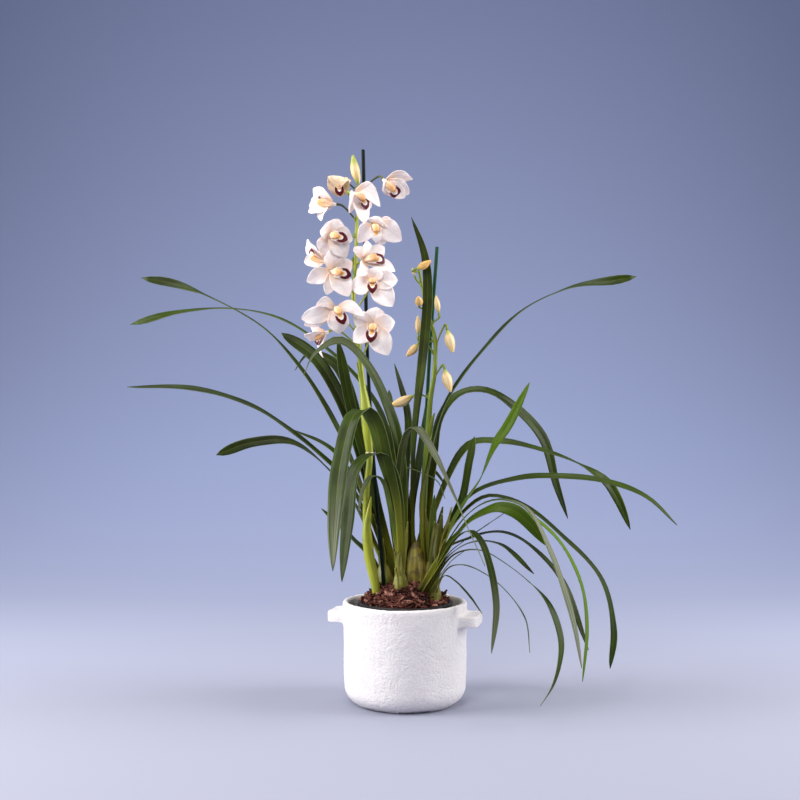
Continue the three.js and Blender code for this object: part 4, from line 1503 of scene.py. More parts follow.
@dataclass
class Spike:
    """A flower stem and its sheaths; the stalks of its flowers are added to it.

    Each sheath has its radii, spread along it, its route, and how yellow it is. A node is a height at
    which a papery collar rings the stem. The girths are radii in millimetres.
    """

    stem: list[Numbers]
    sheaths: list[tuple[Numbers, list[Numbers], float]]
    nodes: list[float]
    fresh: float
    bottom: float = 0.0044
    top: float = 0.0019

    STALK_GIRTHS = (1.35, 1.2, 1.5, 2.0)
    BRACT_GIRTHS = (1.6, 1.9, 1.3, 0.3)
    COLLAR_GIRTHS = (4.4, 5.6, 5.9, 4.8)
    COLLAR_HALF = 3.5

    def stem_point(self, height: float) -> Vector:
        """The stem's middle.

        Args:
            height: A height in millimetres.

        Returns:
            The point there.
        """
        above = next((i for i, p in enumerate(self.stem) if p[2] > height), len(self.stem) - 1)
        low, high = Vector(self.stem[above - 1]), Vector(self.stem[above])
        return low.lerp(high, min(1.0, (height - low.z) / (high.z - low.z))) * MM

    def girth(self, share: float, _: float) -> float:
        """The stem's radius."""
        return keyed((self.bottom, self.bottom, self.top), share)

    def build_sheath(self, name: str, radii: Numbers, route: list[Numbers], fresh: float,
                     palette: Palette) -> Piece:
        """A sheath wrapped round the stem, whose one edge overlaps the other.

        Args:
            name: Its name while it is on its own.
            radii: Its radii, spread along it, in millimetres.
            route: Its middle line, in millimetres.
            fresh: How yellow it is.
            palette: The finishes.

        Returns:
            The sheath.
        """
        def width_at(share: float, angle: float) -> float:
            """The radius at a share of the way along and an angle."""
            overlap = 0.09 * max(0.0, math.cos((angle - 0.8 - share) / 2)) ** 9
            return keyed(radii, share) * MM * (0.97 + overlap)

        sheath = swept(name, Route([mm(p) for p in route]), width_at, 32, 36)
        return tint(dress(sheath, palette.stalk), fresh=fresh, dusk=0.0)

    def build_stalk(self, name: str, stalk: Stalk, palette: Palette) -> Piece:
        """A stalk, which thickens into its ovary.

        Args:
            name: Its name while it is on its own.
            stalk: Its place and looks.
            palette: The finishes.

        Returns:
            The stalk.
        """
        foot = self.stem_point(stalk.start)
        bow = stalk.end - stalk.along * (0.28 * (foot - stalk.end).length)

        def width_at(share: float, angle: float) -> float:
            """The radius: the ovary has three faint ribs."""
            return keyed(self.STALK_GIRTHS, share) * MM * (1 + 0.06 * math.cos(3 * angle))

        piece = swept(name, Route([foot, bow, stalk.end]), width_at, 12, 20)
        return tint(dress(piece, palette.stalk), fresh=stalk.fresh, dusk=stalk.dusk)

    def build_bract(self, name: str, stalk: Stalk, palette: Palette) -> Piece:
        """The small pointed scale under a stalk, where it leaves the stem.

        Args:
            name: Its name while it is on its own.
            stalk: The stalk.
            palette: The finishes.

        Returns:
            The bract.
        """
        foot = self.stem_point(stalk.start - 2)
        out = stalk.end - foot
        out.z = 0
        out = out.normalized() if out.length > 1e-4 else Vector((0, -1, 0))
        route = Route([foot + out * 0.001, foot + out * 0.0035 + Vector((0, 0, 0.004)),
                       foot + out * 0.005 + Vector((0, 0, 0.010))])
        bract = swept(name, route, lambda share, _: keyed(self.BRACT_GIRTHS, share) * MM, 10, 10, flat=0.6)
        return tint(dress(bract, palette.stalk), fresh=0.35, dusk=0.1)

    def build(self, node: str, stalks: list[Stalk], palette: Palette) -> None:
        """Builds and dresses the spike.

        Args:
            node: The CAD node that it stands for.
            stalks: The stalks of its flowers and buds.
            palette: The finishes.
        """
        stem = swept(f"{node}_stem", Route([mm(p) for p in self.stem]), self.girth, 20, 140)
        parts = [tint(dress(stem, palette.stalk), fresh=self.fresh, dusk=0.0)]
        for i, (radii, route, fresh) in enumerate(self.sheaths):
            parts.append(self.build_sheath(f"{node}_sheath_{i}", radii, route, fresh, palette))
        for i, height in enumerate(self.nodes):
            ends = [self.stem_point(height + side * self.COLLAR_HALF) for side in (-1, 1)]
            collar = swept(f"{node}_collar_{i}", Route(ends),
                           lambda share, _: keyed(self.COLLAR_GIRTHS, share) * MM, 20, 8)
            parts.append(tint(dress(collar, palette.collar), fresh=0.6, dusk=0.1))
        for i, stalk in enumerate(stalks):
            parts.append(self.build_stalk(f"{node}_stalk_{i}", stalk, palette))
            parts.append(self.build_bract(f"{node}_bract_{i}", stalk, palette))
        install(smoothed(joined(f"{node}_green", parts)), Slot.STALK, node)


@dataclass
class Bloom:
    """An open flower: five tepals, a column and a lip.

    The column and the lip point at yaw (0 is the front, + is right) and pitch (+ is up), in degrees,
    and roll turns them about that line. Each tepal ends at (right, up, front) of the flower's centre;
    then come its width, how far its middle arches out and how far it is lifted. leaves_stem is the
    height at which its stalk leaves the stem. All lengths are in millimetres.
    """

    at: Numbers
    yaw: float
    pitch: float
    roll: float
    size: float
    leaves_stem: float
    tepals: list[Numbers]
    cream: float = 0.04
    dusk: float = 0.0
    banded: float = 1.0

    ROOT = 2.4
    ROOT_SHARE = 0.46
    WIDEST = 0.5
    DISH = 0.2
    THICK = 0.0007
    ROWS = 26
    COLUMNS = 14
    SUNK = 2.5
    HUB_GIRTHS = (1.9, 2.4, 3.1, 3.0)
    COLUMN_ROUTE = ((0, 0, 0), (0, 0.6, 10.2), (0, -4.2, 18.4))
    COLUMN_GIRTHS = (3.0, 3.3, 3.7, 4.2, 4.6, 4.8, 4.6, 3.9, 2.7)
    # Each row of the lip: out, height of its middle, half width, rise of its sides.
    LIP_ROWS = ((3, -2.6, 2.4, 1.2), (7, -4.4, 4.8, 4.4), (11, -6.5, 6.5, 6), (14.6, -8.3, 6.6, 3.6),
                (17, -11.5, 7.3, 0.2), (17.4, -15.8, 4.9, -0.6), (16, -20.5, 0.9, -0.2))
    LIP_STEPS = 34
    LIP_COLUMNS = 22

    def __post_init__(self) -> None:
        """Works out the flower's own directions."""
        turn, tilt = math.radians(self.yaw), math.radians(self.pitch)
        level = math.cos(tilt)
        self.out = Vector((math.sin(turn) * level, -math.cos(turn) * level, math.sin(tilt)))
        flat = Vector((math.cos(turn), math.sin(turn), 0))
        self.right = Matrix.Rotation(math.radians(self.roll), 3, self.out) @ flat
        self.up = self.out.cross(self.right)
        self.centre = mm(self.at)

    def spot(self, right: float, up: float, out: float) -> Vector:
        """A point from the flower's centre, scaled by its size."""
        scale = self.size * MM
        return self.centre + (self.right * right + self.up * up + self.out * out) * scale

    @classmethod
    def outline(cls, share: float) -> float:
        """A tepal's outline.

        Args:
            share: A place from its root to its tip.

        Returns:
            Its half width there, as a share of the greatest.
        """
        if share < cls.WIDEST:
            return mix(cls.ROOT_SHARE, 1, math.sin(share / cls.WIDEST * math.pi / 2))
        return max(0.0, 1 - ((share - cls.WIDEST) / (1 - cls.WIDEST)) ** 1.9) ** 0.8

    def build_tepal(self, name: str, plan: Numbers, draw: random.Random, palette: Palette) -> Piece:
        """One petal or sepal, arched along its length and dished across.

        Args:
            name: Its name while it is on its own.
            plan: Its reach to the right, up and to the front, its width, its arch and its lift.
            draw: The random numbers.
            palette: The finishes.

        Returns:
            The tepal.
        """
        right, up, front, width, arch, lift = (*plan, 0.0)[:6]
        reach = Vector((right, -front, up))
        aim = reach.normalized()
        out = (self.out - aim * self.out.dot(aim)).normalized()
        side = aim.cross(out)
        wave, curl = draw.uniform(0, 9), draw.uniform(-0.06, 0.10)
        twist = draw.uniform(-0.22, 0.22)

        def place(across: float, row: int) -> Vector:
            """The tepal's surface.

            Args:
                across: A share from edge to edge.
                row: A row from its root to its tip.

            Returns:
                The point there.
            """
            share = 1 - (1 - row / self.ROWS) ** 1.5
            off = 2 * across - 1
            half = max(0.3, 1.07 * width * self.outline(share)) / 2
            swell = arch * math.sin(math.pi * share)
            dish = self.DISH * half * off * off * (1.15 - 0.5 * share)
            crease = -0.45 * math.exp(-((off / 0.13) ** 2)) * math.sin(math.pi * min(1.0, share * 1.1))
            ruffle = 0.09 * half * off**2 * math.sin(share * 12 + off * 2.5 + wave)
            ruffle = ruffle * smoothstep(0.2, 0.5, share) + twist * off * half * smoothstep(0.3, 1.0, share)
            tip = -curl * reach.length * smoothstep(0.72, 1.0, share) ** 2
            middle = aim * mix(self.ROOT, reach.length, share) + out * (swell + dish + crease + ruffle + tip)
            middle.z += lift * math.sin(math.pi * share)
            return self.centre + (middle + side * (off * half)) * MM

        tepal = dress(shaped_grid(name, self.COLUMNS, self.ROWS, place), palette.tepal, palette.tepal_back)
        thicken(tepal, self.THICK)
        return tint(tepal, cream=min(1.0, self.cream * draw.uniform(0.7, 1.3)))

    def build_column(self, name: str, palette: Palette) -> Piece:
        """The column, which arches over the lip and ends in its round cap.

        Args:
            name: The flower's name.
            palette: The finishes.

        Returns:
            The column.
        """
        route = Route([self.spot(*p) for p in self.COLUMN_ROUTE])
        column = swept(f"{name}_column", route,
                       lambda share, _: keyed(self.COLUMN_GIRTHS, share) * self.size * MM, 20, 22,
                       hint=self.right, flat=0.62)
        return tint(dress(column, palette.column), cream=0.0)

    def build_hub(self, name: str, palette: Palette) -> Piece:
        """The flower's centre, where its tepals join its stalk.

        Args:
            name: The flower's name.
            palette: The finishes.

        Returns:
            The hub.
        """
        route = Route([self.centre - self.out * 0.0045, self.centre + self.out * 0.003])
        hub = swept(f"{name}_hub", route, lambda share, _: keyed(self.HUB_GIRTHS, share) * MM, 16, 10,
                    hint=self.right)
        return tint(dress(hub, palette.tepal_back), cream=max(0.3, self.cream))

    def lip_row(self, share: float) -> list[float]:
        """The lip's section, smoothly between its rows.

        Args:
            share: A place from its root to its tip.

        Returns:
            How far out it is, the height of its middle, its half width and the rise of its sides.
        """
        place = share * (len(self.LIP_ROWS) - 1)
        i = min(int(place), len(self.LIP_ROWS) - 2)
        rows = [self.LIP_ROWS[min(len(self.LIP_ROWS) - 1, max(0, k))] for k in (i - 1, i, i + 1, i + 2)]
        t = place - i
        made = []
        for before, start, end, after in zip(*rows):
            leave, arrive = (end - before) / 2, (after - start) / 2
            bend = 2 * start - 2 * end + leave + arrive
            turn = 3 * end - 3 * start - 2 * leave - arrive
            made.append(start + leave * t + turn * t * t + bend * t**3)
        return made

    def build_lip(self, name: str, draw: random.Random, palette: Palette) -> Piece:
        """The lip: a channel with upright sides, and a front lobe that curls down.

        Args:
            name: The lip's name.
            draw: The random numbers.
            palette: The finishes.

        Returns:
            The lip.
        """
        wave = draw.uniform(0, 9)
        margin: list[float] = []
        off_middle: list[float] = []
        tip = self.spot(0, self.LIP_ROWS[-1][1], self.LIP_ROWS[-1][0])

        def place(across: float, row: int) -> Vector:
            """The lip's surface; it notes each point's distance from the margin and from the middle.

            Args:
                across: A share from edge to edge.
                row: A row from its root to its tip.

            Returns:
                The point there.
            """
            share = row / self.LIP_STEPS
            out, middle, half, rise = self.lip_row(share)
            off = 1 - 2 * across
            front = smoothstep(0.5, 0.75, share)
            curve = mix(abs(off) ** 2.2, off * off, front)
            ridges = 1.5 * math.exp(-(((abs(off) - 0.17) / 0.09) ** 2)) * smoothstep(0.12, 0.3, share)
            ridges *= 1 - smoothstep(0.5, 0.64, share)
            frill = 0.5 * off**4 * math.sin(share * 26 + wave + off) * smoothstep(0.3, 0.6, share)
            point = self.spot(off * half, middle + rise * curve + ridges, out + frill)
            end = (point - tip).length / MM
            margin.append(min(half * (1 - abs(off)) * self.size, 0.72 * end + 0.3))
            off_middle.append(abs(off))
            return point

        lip = dress(shaped_grid(name, self.LIP_COLUMNS, self.LIP_STEPS, place), palette.lip)
        tint(lip, margin=margin, off_middle=off_middle, banded=self.banded)
        return thicken(lip, self.THICK, back_slot=0)

    def stalk(self) -> Stalk:
        """Its stalk, which ends a little inside the hub."""
        return Stalk(self.leaves_stem, self.centre - self.out * (self.SUNK * MM), self.out, 0.5, self.dusk)

    def build(self, number: str, palette: Palette) -> None:
        """Builds and dresses the flower and its lip.

        Args:
            number: The flower's number, as in the names of its CAD nodes.
            palette: The finishes.
        """
        draw = random.Random(f"flower {number}")
        name = f"flower_{number}"
        parts = [self.build_hub(name, palette), self.build_column(name, palette)]
        for i, plan in enumerate(self.tepals):
            parts.append(self.build_tepal(f"{name}_tepal_{i}", plan, draw, palette))
        install(smoothed(joined(name, parts)), Slot.TEPAL, f"bloom_{number}")
        install(self.build_lip(f"labellum_{number}", draw, palette), Slot.LIP, f"lip_{number}")


@dataclass
class Bud:
    """A bud, from its base to its tip, in millimetres; leaves_stem is where its stalk leaves the stem."""

    spike: str
    base: Numbers
    tip: Numbers
    radius: float
    leaves_stem: float
    green_tip: float = 0.0
    warm: float = 0.1

    GIRTHS = (0.24, 0.46, 0.72, 0.93, 1.0, 0.97, 0.86, 0.68, 0.46, 0.2)
    GAP = 0.3

    @property
    def along(self) -> Vector:
        """Its direction."""
        return (Vector(self.tip) - Vector(self.base)).normalized()

    def stalk(self) -> Stalk:
        """Its stalk, which ends a little below it."""
        return Stalk(self.leaves_stem, mm(self.base) - self.along * (self.GAP * MM), self.along, 0.3, 0.1)

    def build(self, number: str, palette: Palette) -> None:
        """Builds and dresses the bud.

        Args:
            number: The bud's number, as in the name of its CAD node.
            palette: The finishes.
        """
        base, tip = mm(self.base), mm(self.tip)
        sag = Vector((0, 0, -0.05)) * (tip - base).length
        route = Route([base, (base + tip) / 2 + sag, tip])

        def width_at(share: float, angle: float) -> float:
            """The radius: three sepals meet along shallow seams."""
            seam = 1 - 0.07 * max(0.0, math.cos(angle * 3)) ** 6
            return keyed(self.GIRTHS, share) * self.radius * MM * seam

        bud = dress(smoothed(swept(f"flower_bud_{number}", route, width_at, 36, 30)), palette.bud)
        tint(bud, green_tip=self.green_tip, warm=self.warm)
        install(bud, Slot.BUD, f"bud_{number}")


# ---------- The studio ----------


@dataclass(frozen=True)
class Softbox:
    """A soft light that faces the point aim; its size is its width and height in metres."""

    name: str
    at: Numbers
    aim: Numbers
    size: tuple[float, float]
    watts: float
    tone: Numbers = (1.0, 0.975, 0.95)

    def build(self) -> None:
        """Adds the light."""
        data = bpy.data.lights.new(self.name, "AREA")
        data.shape, data.size, data.size_y = "RECTANGLE", *self.size
        data.energy, data.color = self.watts, self.tone
        light = bpy.data.objects.new(self.name, data)
        bpy.context.scene.collection.objects.link(light)
        light.location = self.at
        light.rotation_euler = (Vector(self.aim) - Vector(self.at)).to_track_quat("-Z", "Y").to_euler()


@dataclass
class Studio:
    """Pale paper, soft lights from both sides and a level camera in front of the plant.

    The paper runs from front to back, then bends up with the radius bend, and on by top.
    """

    camera_at: Numbers = (-0.007, -1.709, 0.422)
    lens: float = 54.945
    sensor: float = 36.0
    width: float = 9.0
    front: float = -4.0
    back: float = 0.9
    bend: float = 2.2
    top: float = 4.0
    rows: int = 60
    columns: int = 4
    air: Colour = colour(0.82, 0.84, 0.95)
    air_strength: float = 0.19
    lights: Sequence[Softbox] = (
        Softbox("left_softbox", (-1.55, -0.30, 0.95), (0.0, 0.0, 0.35), (0.9, 1.4), 42),
        Softbox("right_softbox", (1.60, -0.15, 0.95), (0.0, 0.0, 0.35), (0.9, 1.4), 38),
        Softbox("front_fill", (-0.45, -1.35, 1.45), (-0.06, 0.0, 0.66), (0.7, 0.7), 15),
        Softbox("top_softbox", (0.0, 0.3, 2.2), (0.0, 0.5, 0.4), (1.8, 1.6), 28),
    )

    def build_paper(self, palette: Palette) -> None:
        """The floor, which sweeps up behind.

        Args:
            palette: The finishes.
        """
        flat = self.back - self.front
        turn = self.bend * math.pi / 2
        whole = flat + turn + self.top

        def place(across: float, row: int) -> Vector:
            """The paper's surface.

            Args:
                across: A share from side to side.
                row: A row from its front to its top.

            Returns:
                The point there.
            """
            run = row / self.rows * whole
            x = (across - 0.5) * self.width
            if run < flat:
                return Vector((x, self.front + run, 0))
            if run < flat + turn:
                angle = (run - flat) / self.bend
                rise = self.bend * (1 - math.cos(angle))
                return Vector((x, self.back + self.bend * math.sin(angle), rise))
            return Vector((x, self.back + self.bend, self.bend + run - flat - turn))

        paper = shaped_grid("studio_paper", self.columns, self.rows, place)
        smoothed(dress(paper, palette.paper))

    def build_camera(self) -> None:
        """Adds the camera."""
        data = bpy.data.cameras.new("front_camera")
        data.lens, data.sensor_width = self.lens, self.sensor
        camera = bpy.data.objects.new("front_camera", data)
        bpy.context.scene.collection.objects.link(camera)
        camera.location = self.camera_at
        camera.rotation_euler = (math.pi / 2, 0, 0)
        bpy.context.scene.camera = camera

    def build(self, palette: Palette) -> None:
        """Sets up the paper, the lights, the surroundings and the camera.

        Args:
            palette: The finishes.
        """
        self.build_paper(palette)
        for light in self.lights:
            light.build()
        world = bpy.data.worlds.new("studio_air")
        world.use_nodes = True
        background = world.node_tree.nodes["Background"]
        background.inputs[0].default_value, background.inputs[1].default_value = self.air, self.air_strength
        bpy.context.scene.world = world
        self.build_camera()
        bpy.context.scene.view_settings.view_transform = "Standard"


# ---------- The whole plant ----------

CANES = [
    Cane("stake_tall", [(-28, -9, 60), (-30, -8, 165), (-43, 1, 323), (-53, 6, 490), (-56, 9, 634),
                        (-59, 12, 775)]),
    Cane("stake_short", [(18, 38, 60), (20, 38, 160), (34, 38, 463), (46, 36, 641)], fresh=0.8),
]

SHOOTS = {
    "shoot_1": Shoot(at=(-27, 10), radius=13, top=192, fan=((-10, 12, 165), (-30, 8, 160)), leaves=[
        Leaf(roll=(0, -12, -15, -15, -13, -11, -9, -7, -5, -3, -3, -3, -45, -90), taper=0.91,
            route=[(-46, 13, 245), (-94, 24, 375), (-144, 32, 461), (-206, 41, 528), (-323, 54, 587),
            (-382, 60, 599)]),
        Leaf(roll=(-10, -16, -19, -21, -22, -22), route=[(-48, 7, 230), (-74, -1, 296), (-105, -6, 333),
            (-203, -23, 410), (-290, -36, 438), (-378, -50, 440)]),
        Leaf(width=15, roll=(-30, -40, -12, -20, -55, -65), taper=0.92, route=[(-48, 6, 226),
            (-76, -12, 287), (-101, -30, 322), (-151, -60, 365), (-202, -84, 366), (-248, -108, 350)]),
        Leaf(width=11, roll=(-15, -15), route=[(-46, 20, 252), (-100, 37, 348), (-167, 50, 382)]),
        Leaf(width=19, roll=(-20, -50, -60), taper=0.9, route=[(-40, 24, 245), (-56, 35, 322),
            (-83, 53, 403), (-130, 74, 483), (-182, 90, 521)]),
        Leaf(width=17, roll=(0, -30, -60), route=[(-38, 38, 262), (-62, 66, 365), (-101, 104, 473),
            (-145, 126, 491), (-166, 136, 467)]),
        Leaf(width=14, route=[(-47, 22, 195), (-88, 46, 236), (-121, 62, 265)]),
        Leaf(width=16, roll=(-30, -60), taper=0.85, route=[(-38, 24, 262), (-55, 32, 337), (-77, 43, 411),
            (-97, 56, 509)]),
    ]),
    "shoot_2": Shoot(at=(-6, -20), radius=10, top=184, leaves=[
        Leaf(width=18, roll=(-70, -75, -75, -70, -58, -50, 30), silver=0.3, route=[(-4, -27, 284),
            (-10, -34, 365), (-25, -42, 417), (-57, -53, 478), (-89, -60, 503), (-122, -66, 484),
            (-137, -70, 455)]),
        Leaf(width=26, foot=0.55, silver=0.45, silver_from=0.72, fresh=0.12, route=[(-14, -42, 272),
            (-30, -62, 345), (-42, -74, 393), (-54, -81, 409), (-68, -89, 402), (-84, -108, 345),
            (-91, -140, 270), (-92, -168, 206)]),
        Leaf(width=22, foot=0.55, fresh=0.12, route=[(-9, -37, 268), (-20, -51, 325), (-34, -60, 348),
            (-53, -66, 346), (-68, -74, 328), (-76, -92, 263), (-83, -118, 185)]),
        Leaf(width=11, silver=0.35, route=[(-18, -35, 257), (-32, -50, 314), (-45, -56, 319),
            (-57, -62, 302), (-63, -70, 270)]),
        Leaf(width=6, route=[(-21, -26, 271), (-20, -25, 315), (-5, -23, 329), (20, -25, 323),
            (45, -31, 310), (55, -37, 287)]),
        Leaf(width=15, roll=(20, 0, 0, 10, -22, -38, -38), silver=0.5, silver_from=0.4,
            route=[(-6, -25, 215), (-12, -27, 263), (-8, -33, 305), (-2, -42, 360), (6, -50, 382),
            (15, -55, 385), (30, -65, 366), (56, -90, 315), (79, -118, 261), (102, -148, 210)]),
    ]),
    "shoot_3": Shoot(at=(15, 8), radius=18, top=222, leaves=[
        Leaf(width=12, route=[(0, 26, 280), (3, 36, 350), (4, 45, 400), (-15, 60, 475)]),
        Leaf(width=15, heading=-90, roll=(80, 70, 40, 10, -20), fresh=0.05, route=[(13, 15, 267),
            (13, 15, 323), (15, 14, 387), (23, 13, 464), (32, 12, 569), (28, 12, 625), (9, 10, 680)]),
        Leaf(roll=(-15, -14, -12, -10, -8, -6, -4, -4, -4, -30, -85), taper=0.9, route=[(-7, 28, 266),
            (-21, 43, 350), (-42, 55, 415), (-100, 74, 485), (-183, 95, 542), (-256, 112, 558),
            (-337, 131, 555), (-418, 150, 537)]),
        Leaf(width=12, route=[(10, 40, 265), (20, 58, 330), (30, 76, 390), (34, 88, 428)]),
        Leaf(width=9, route=[(-7, 50, 278), (-4, 68, 320), (15, 82, 333), (42, 95, 319), (62, 110, 294)]),
        Leaf(width=10, taper=0.94, route=[(-10, 31, 279), (-17, 50, 364), (-23, 70, 437)]),
    ]),
    "shoot_4": Shoot(at=(34, 2), radius=12, top=196, leaves=[
        Leaf(roll=(0, 8, 8, 6, 4, 2, 0, 0, 0, 40, 88), taper=0.92, route=[(26, 9, 278), (35, 13, 330),
            (44, 17, 375), (61, 22, 423), (104, 30, 485), (169, 40, 551), (242, 49, 585), (302, 56, 595),
            (336, 60, 601)]),
        Leaf(width=16, roll=(40, 30, 26, 26, 28, 26, 15, 80, 88), taper=0.84, route=[(36, 8, 237),
            (50, 14, 282), (79, 22, 345), (98, 26, 362), (127, 30, 364), (162, 34, 360), (238, 40, 336),
            (288, 44, 306), (306, 47, 280), (325, 50, 235)]),
        Leaf(width=9, heading=-60, route=[(37, -2, 225), (41, -6, 290)]),
    ]),
    "shoot_5": Shoot(at=(36, 33), radius=11, top=188, leaves=[
        Leaf(width=18, roll=(60, 65, 35, 10, 12, 55, 85, 90, 90), route=[(34, 38, 267), (42, 46, 330),
            (52, 54, 396), (74, 62, 428), (97, 68, 437), (124, 74, 435), (154, 82, 418), (204, 98, 367),
            (226, 114, 297), (246, 130, 243)]),
        Leaf(width=14, roll=(40, 85), taper=0.86, route=[(56, 26, 230), (71, 20, 261), (82, 13, 288),
            (89, 6, 328), (97, -2, 371)]),
        Leaf(width=16, roll=(20, 5, 5, 45, 85, 90), fresh=0.75, route=[(67, 18, 244), (86, 9, 279),
            (104, -1, 309), (126, -16, 363), (140, -26, 384), (169, -50, 446)]),
        Leaf(width=14, roll=(20, 22, 22, 26, 32, 34), route=[(64, 29, 244), (97, 26, 288), (155, 22, 310),
            (202, 18, 315), (283, 11, 308), (340, 5, 286), (381, 0, 247)]),
        Leaf(width=13, roll=(20, 20, 18, 18, 22, 32, 50, 80), taper=0.88, route=[(67, 34, 239),
            (112, 34, 282), (146, 35, 281), (176, 35, 268), (222, 36, 231), (281, 38, 167), (299, 39, 93),
            (294, 40, 37)]),
    ]),
    "shoot_6": Shoot(at=(40, -25), radius=9, top=170, fan=((21, -37, 160), (44, -41, 158)), leaves=[
        Leaf(width=20, roll=(60, 50, 5, 30, 80, 85), taper=0.7, fresh=0.4, route=[(64, -36, 224),
            (84, -44, 252), (107, -52, 270), (129, -58, 277), (153, -62, 269), (192, -68, 225)]),
        Leaf(width=12, roll=(0, 10, 30), silver=0.85, silver_from=0.35, route=[(62, -28, 228),
            (89, -30, 265), (116, -33, 282), (142, -38, 284), (166, -50, 274), (192, -78, 225),
            (221, -98, 133), (231, -112, 71)]),
        Leaf(width=12, roll=(0, 10, 40), fresh=0.95, route=[(66, -24, 227), (96, -24, 262), (130, -26, 277),
            (164, -29, 268), (212, -36, 228), (241, -44, 168), (247, -50, 110), (240, -58, 41)]),
        Leaf(width=12, roll=(10, 10, 10, 15, 30, 65, 70), route=[(59, -22, 215), (90, -18, 229),
            (114, -17, 237), (138, -17, 238), (169, -18, 224), (215, -22, 176), (245, -24, 100),
            (253, -26, 77)]),
        Leaf(width=10, roll=(0, 0, 5, 50), route=[(62, -35, 208), (88, -46, 227), (108, -54, 231),
            (132, -64, 226), (171, -88, 191)]),
        Leaf(width=11, roll=(0, 0, -25, -25, 20, 0, -20), route=[(64, -36, 205), (83, -44, 215),
            (105, -54, 216), (130, -66, 204), (160, -80, 183), (187, -96, 157), (203, -112, 112),
            (200, -124, 80), (190, -136, 54), (173, -146, 30)]),
        Leaf(width=9, route=[(62, -38, 200), (82, -48, 218)]),
        Leaf(width=9, roll=(0, -15, -15), silver=0.3, route=[(60, -36, 190), (74, -44, 196), (90, -52, 194),
            (114, -62, 183), (138, -74, 163), (160, -86, 130), (165, -94, 88)]),
        Leaf(width=6, route=[(54, -34, 180), (68, -42, 175), (86, -52, 158), (104, -64, 134)]),
        Leaf(width=10, roll=(0, 20, 20), silver=0.3, route=[(58, -40, 214), (73, -50, 236), (88, -58, 244),
            (100, -66, 235), (111, -82, 208), (119, -110, 154), (110, -148, 98)]),
        Leaf(width=8, route=[(62, -30, 212), (82, -38, 230), (135, -58, 270)]),
    ]),
}

SPIKES = {
    TALL: Spike(
        stem=[(-40, -14, 90), (-40, -14, 160), (-53, -13, 233), (-54, -13, 290), (-49, -11, 347),
              (-55, -9, 412), (-62, -8, 470), (-67, -6, 526), (-72, -5, 561), (-69, -4, 614),
              (-67, -2, 679), (-66, 0, 720)],
        sheaths=[
            ((5.4, 6.6, 7.2, 6.8, 4.6, 0.8),
             [(-39, -14, 148), (-42, -14, 168), (-50, -14, 206), (-53, -14, 245), (-47, -17, 288)], 0.9),
            ((4.8, 7, 7.6, 4, 0.8),
             [(-49, -11, 345), (-54, -10, 395), (-58, -9, 432), (-67, -10, 474)], 0.6),
            ((2.8, 3.4, 0.7), [(-69, -5, 580), (-70, -4, 600), (-73, -1, 622)], 0.1),
        ],
        nodes=[347], fresh=0.75),
    SHORT: Spike(
        stem=[(24, 21, 90), (24, 21, 160), (27, 24, 280), (33, 26, 379), (36, 26, 422), (42, 26, 463),
              (42, 26, 514), (31, 26, 550), (24, 26, 585), (20, 24, 606)],
        sheaths=[((3, 4.2, 0.7), [(34, 26, 365), (36, 25, 385), (42, 22, 404)], 0.35)],
        nodes=[], fresh=0.25),
}

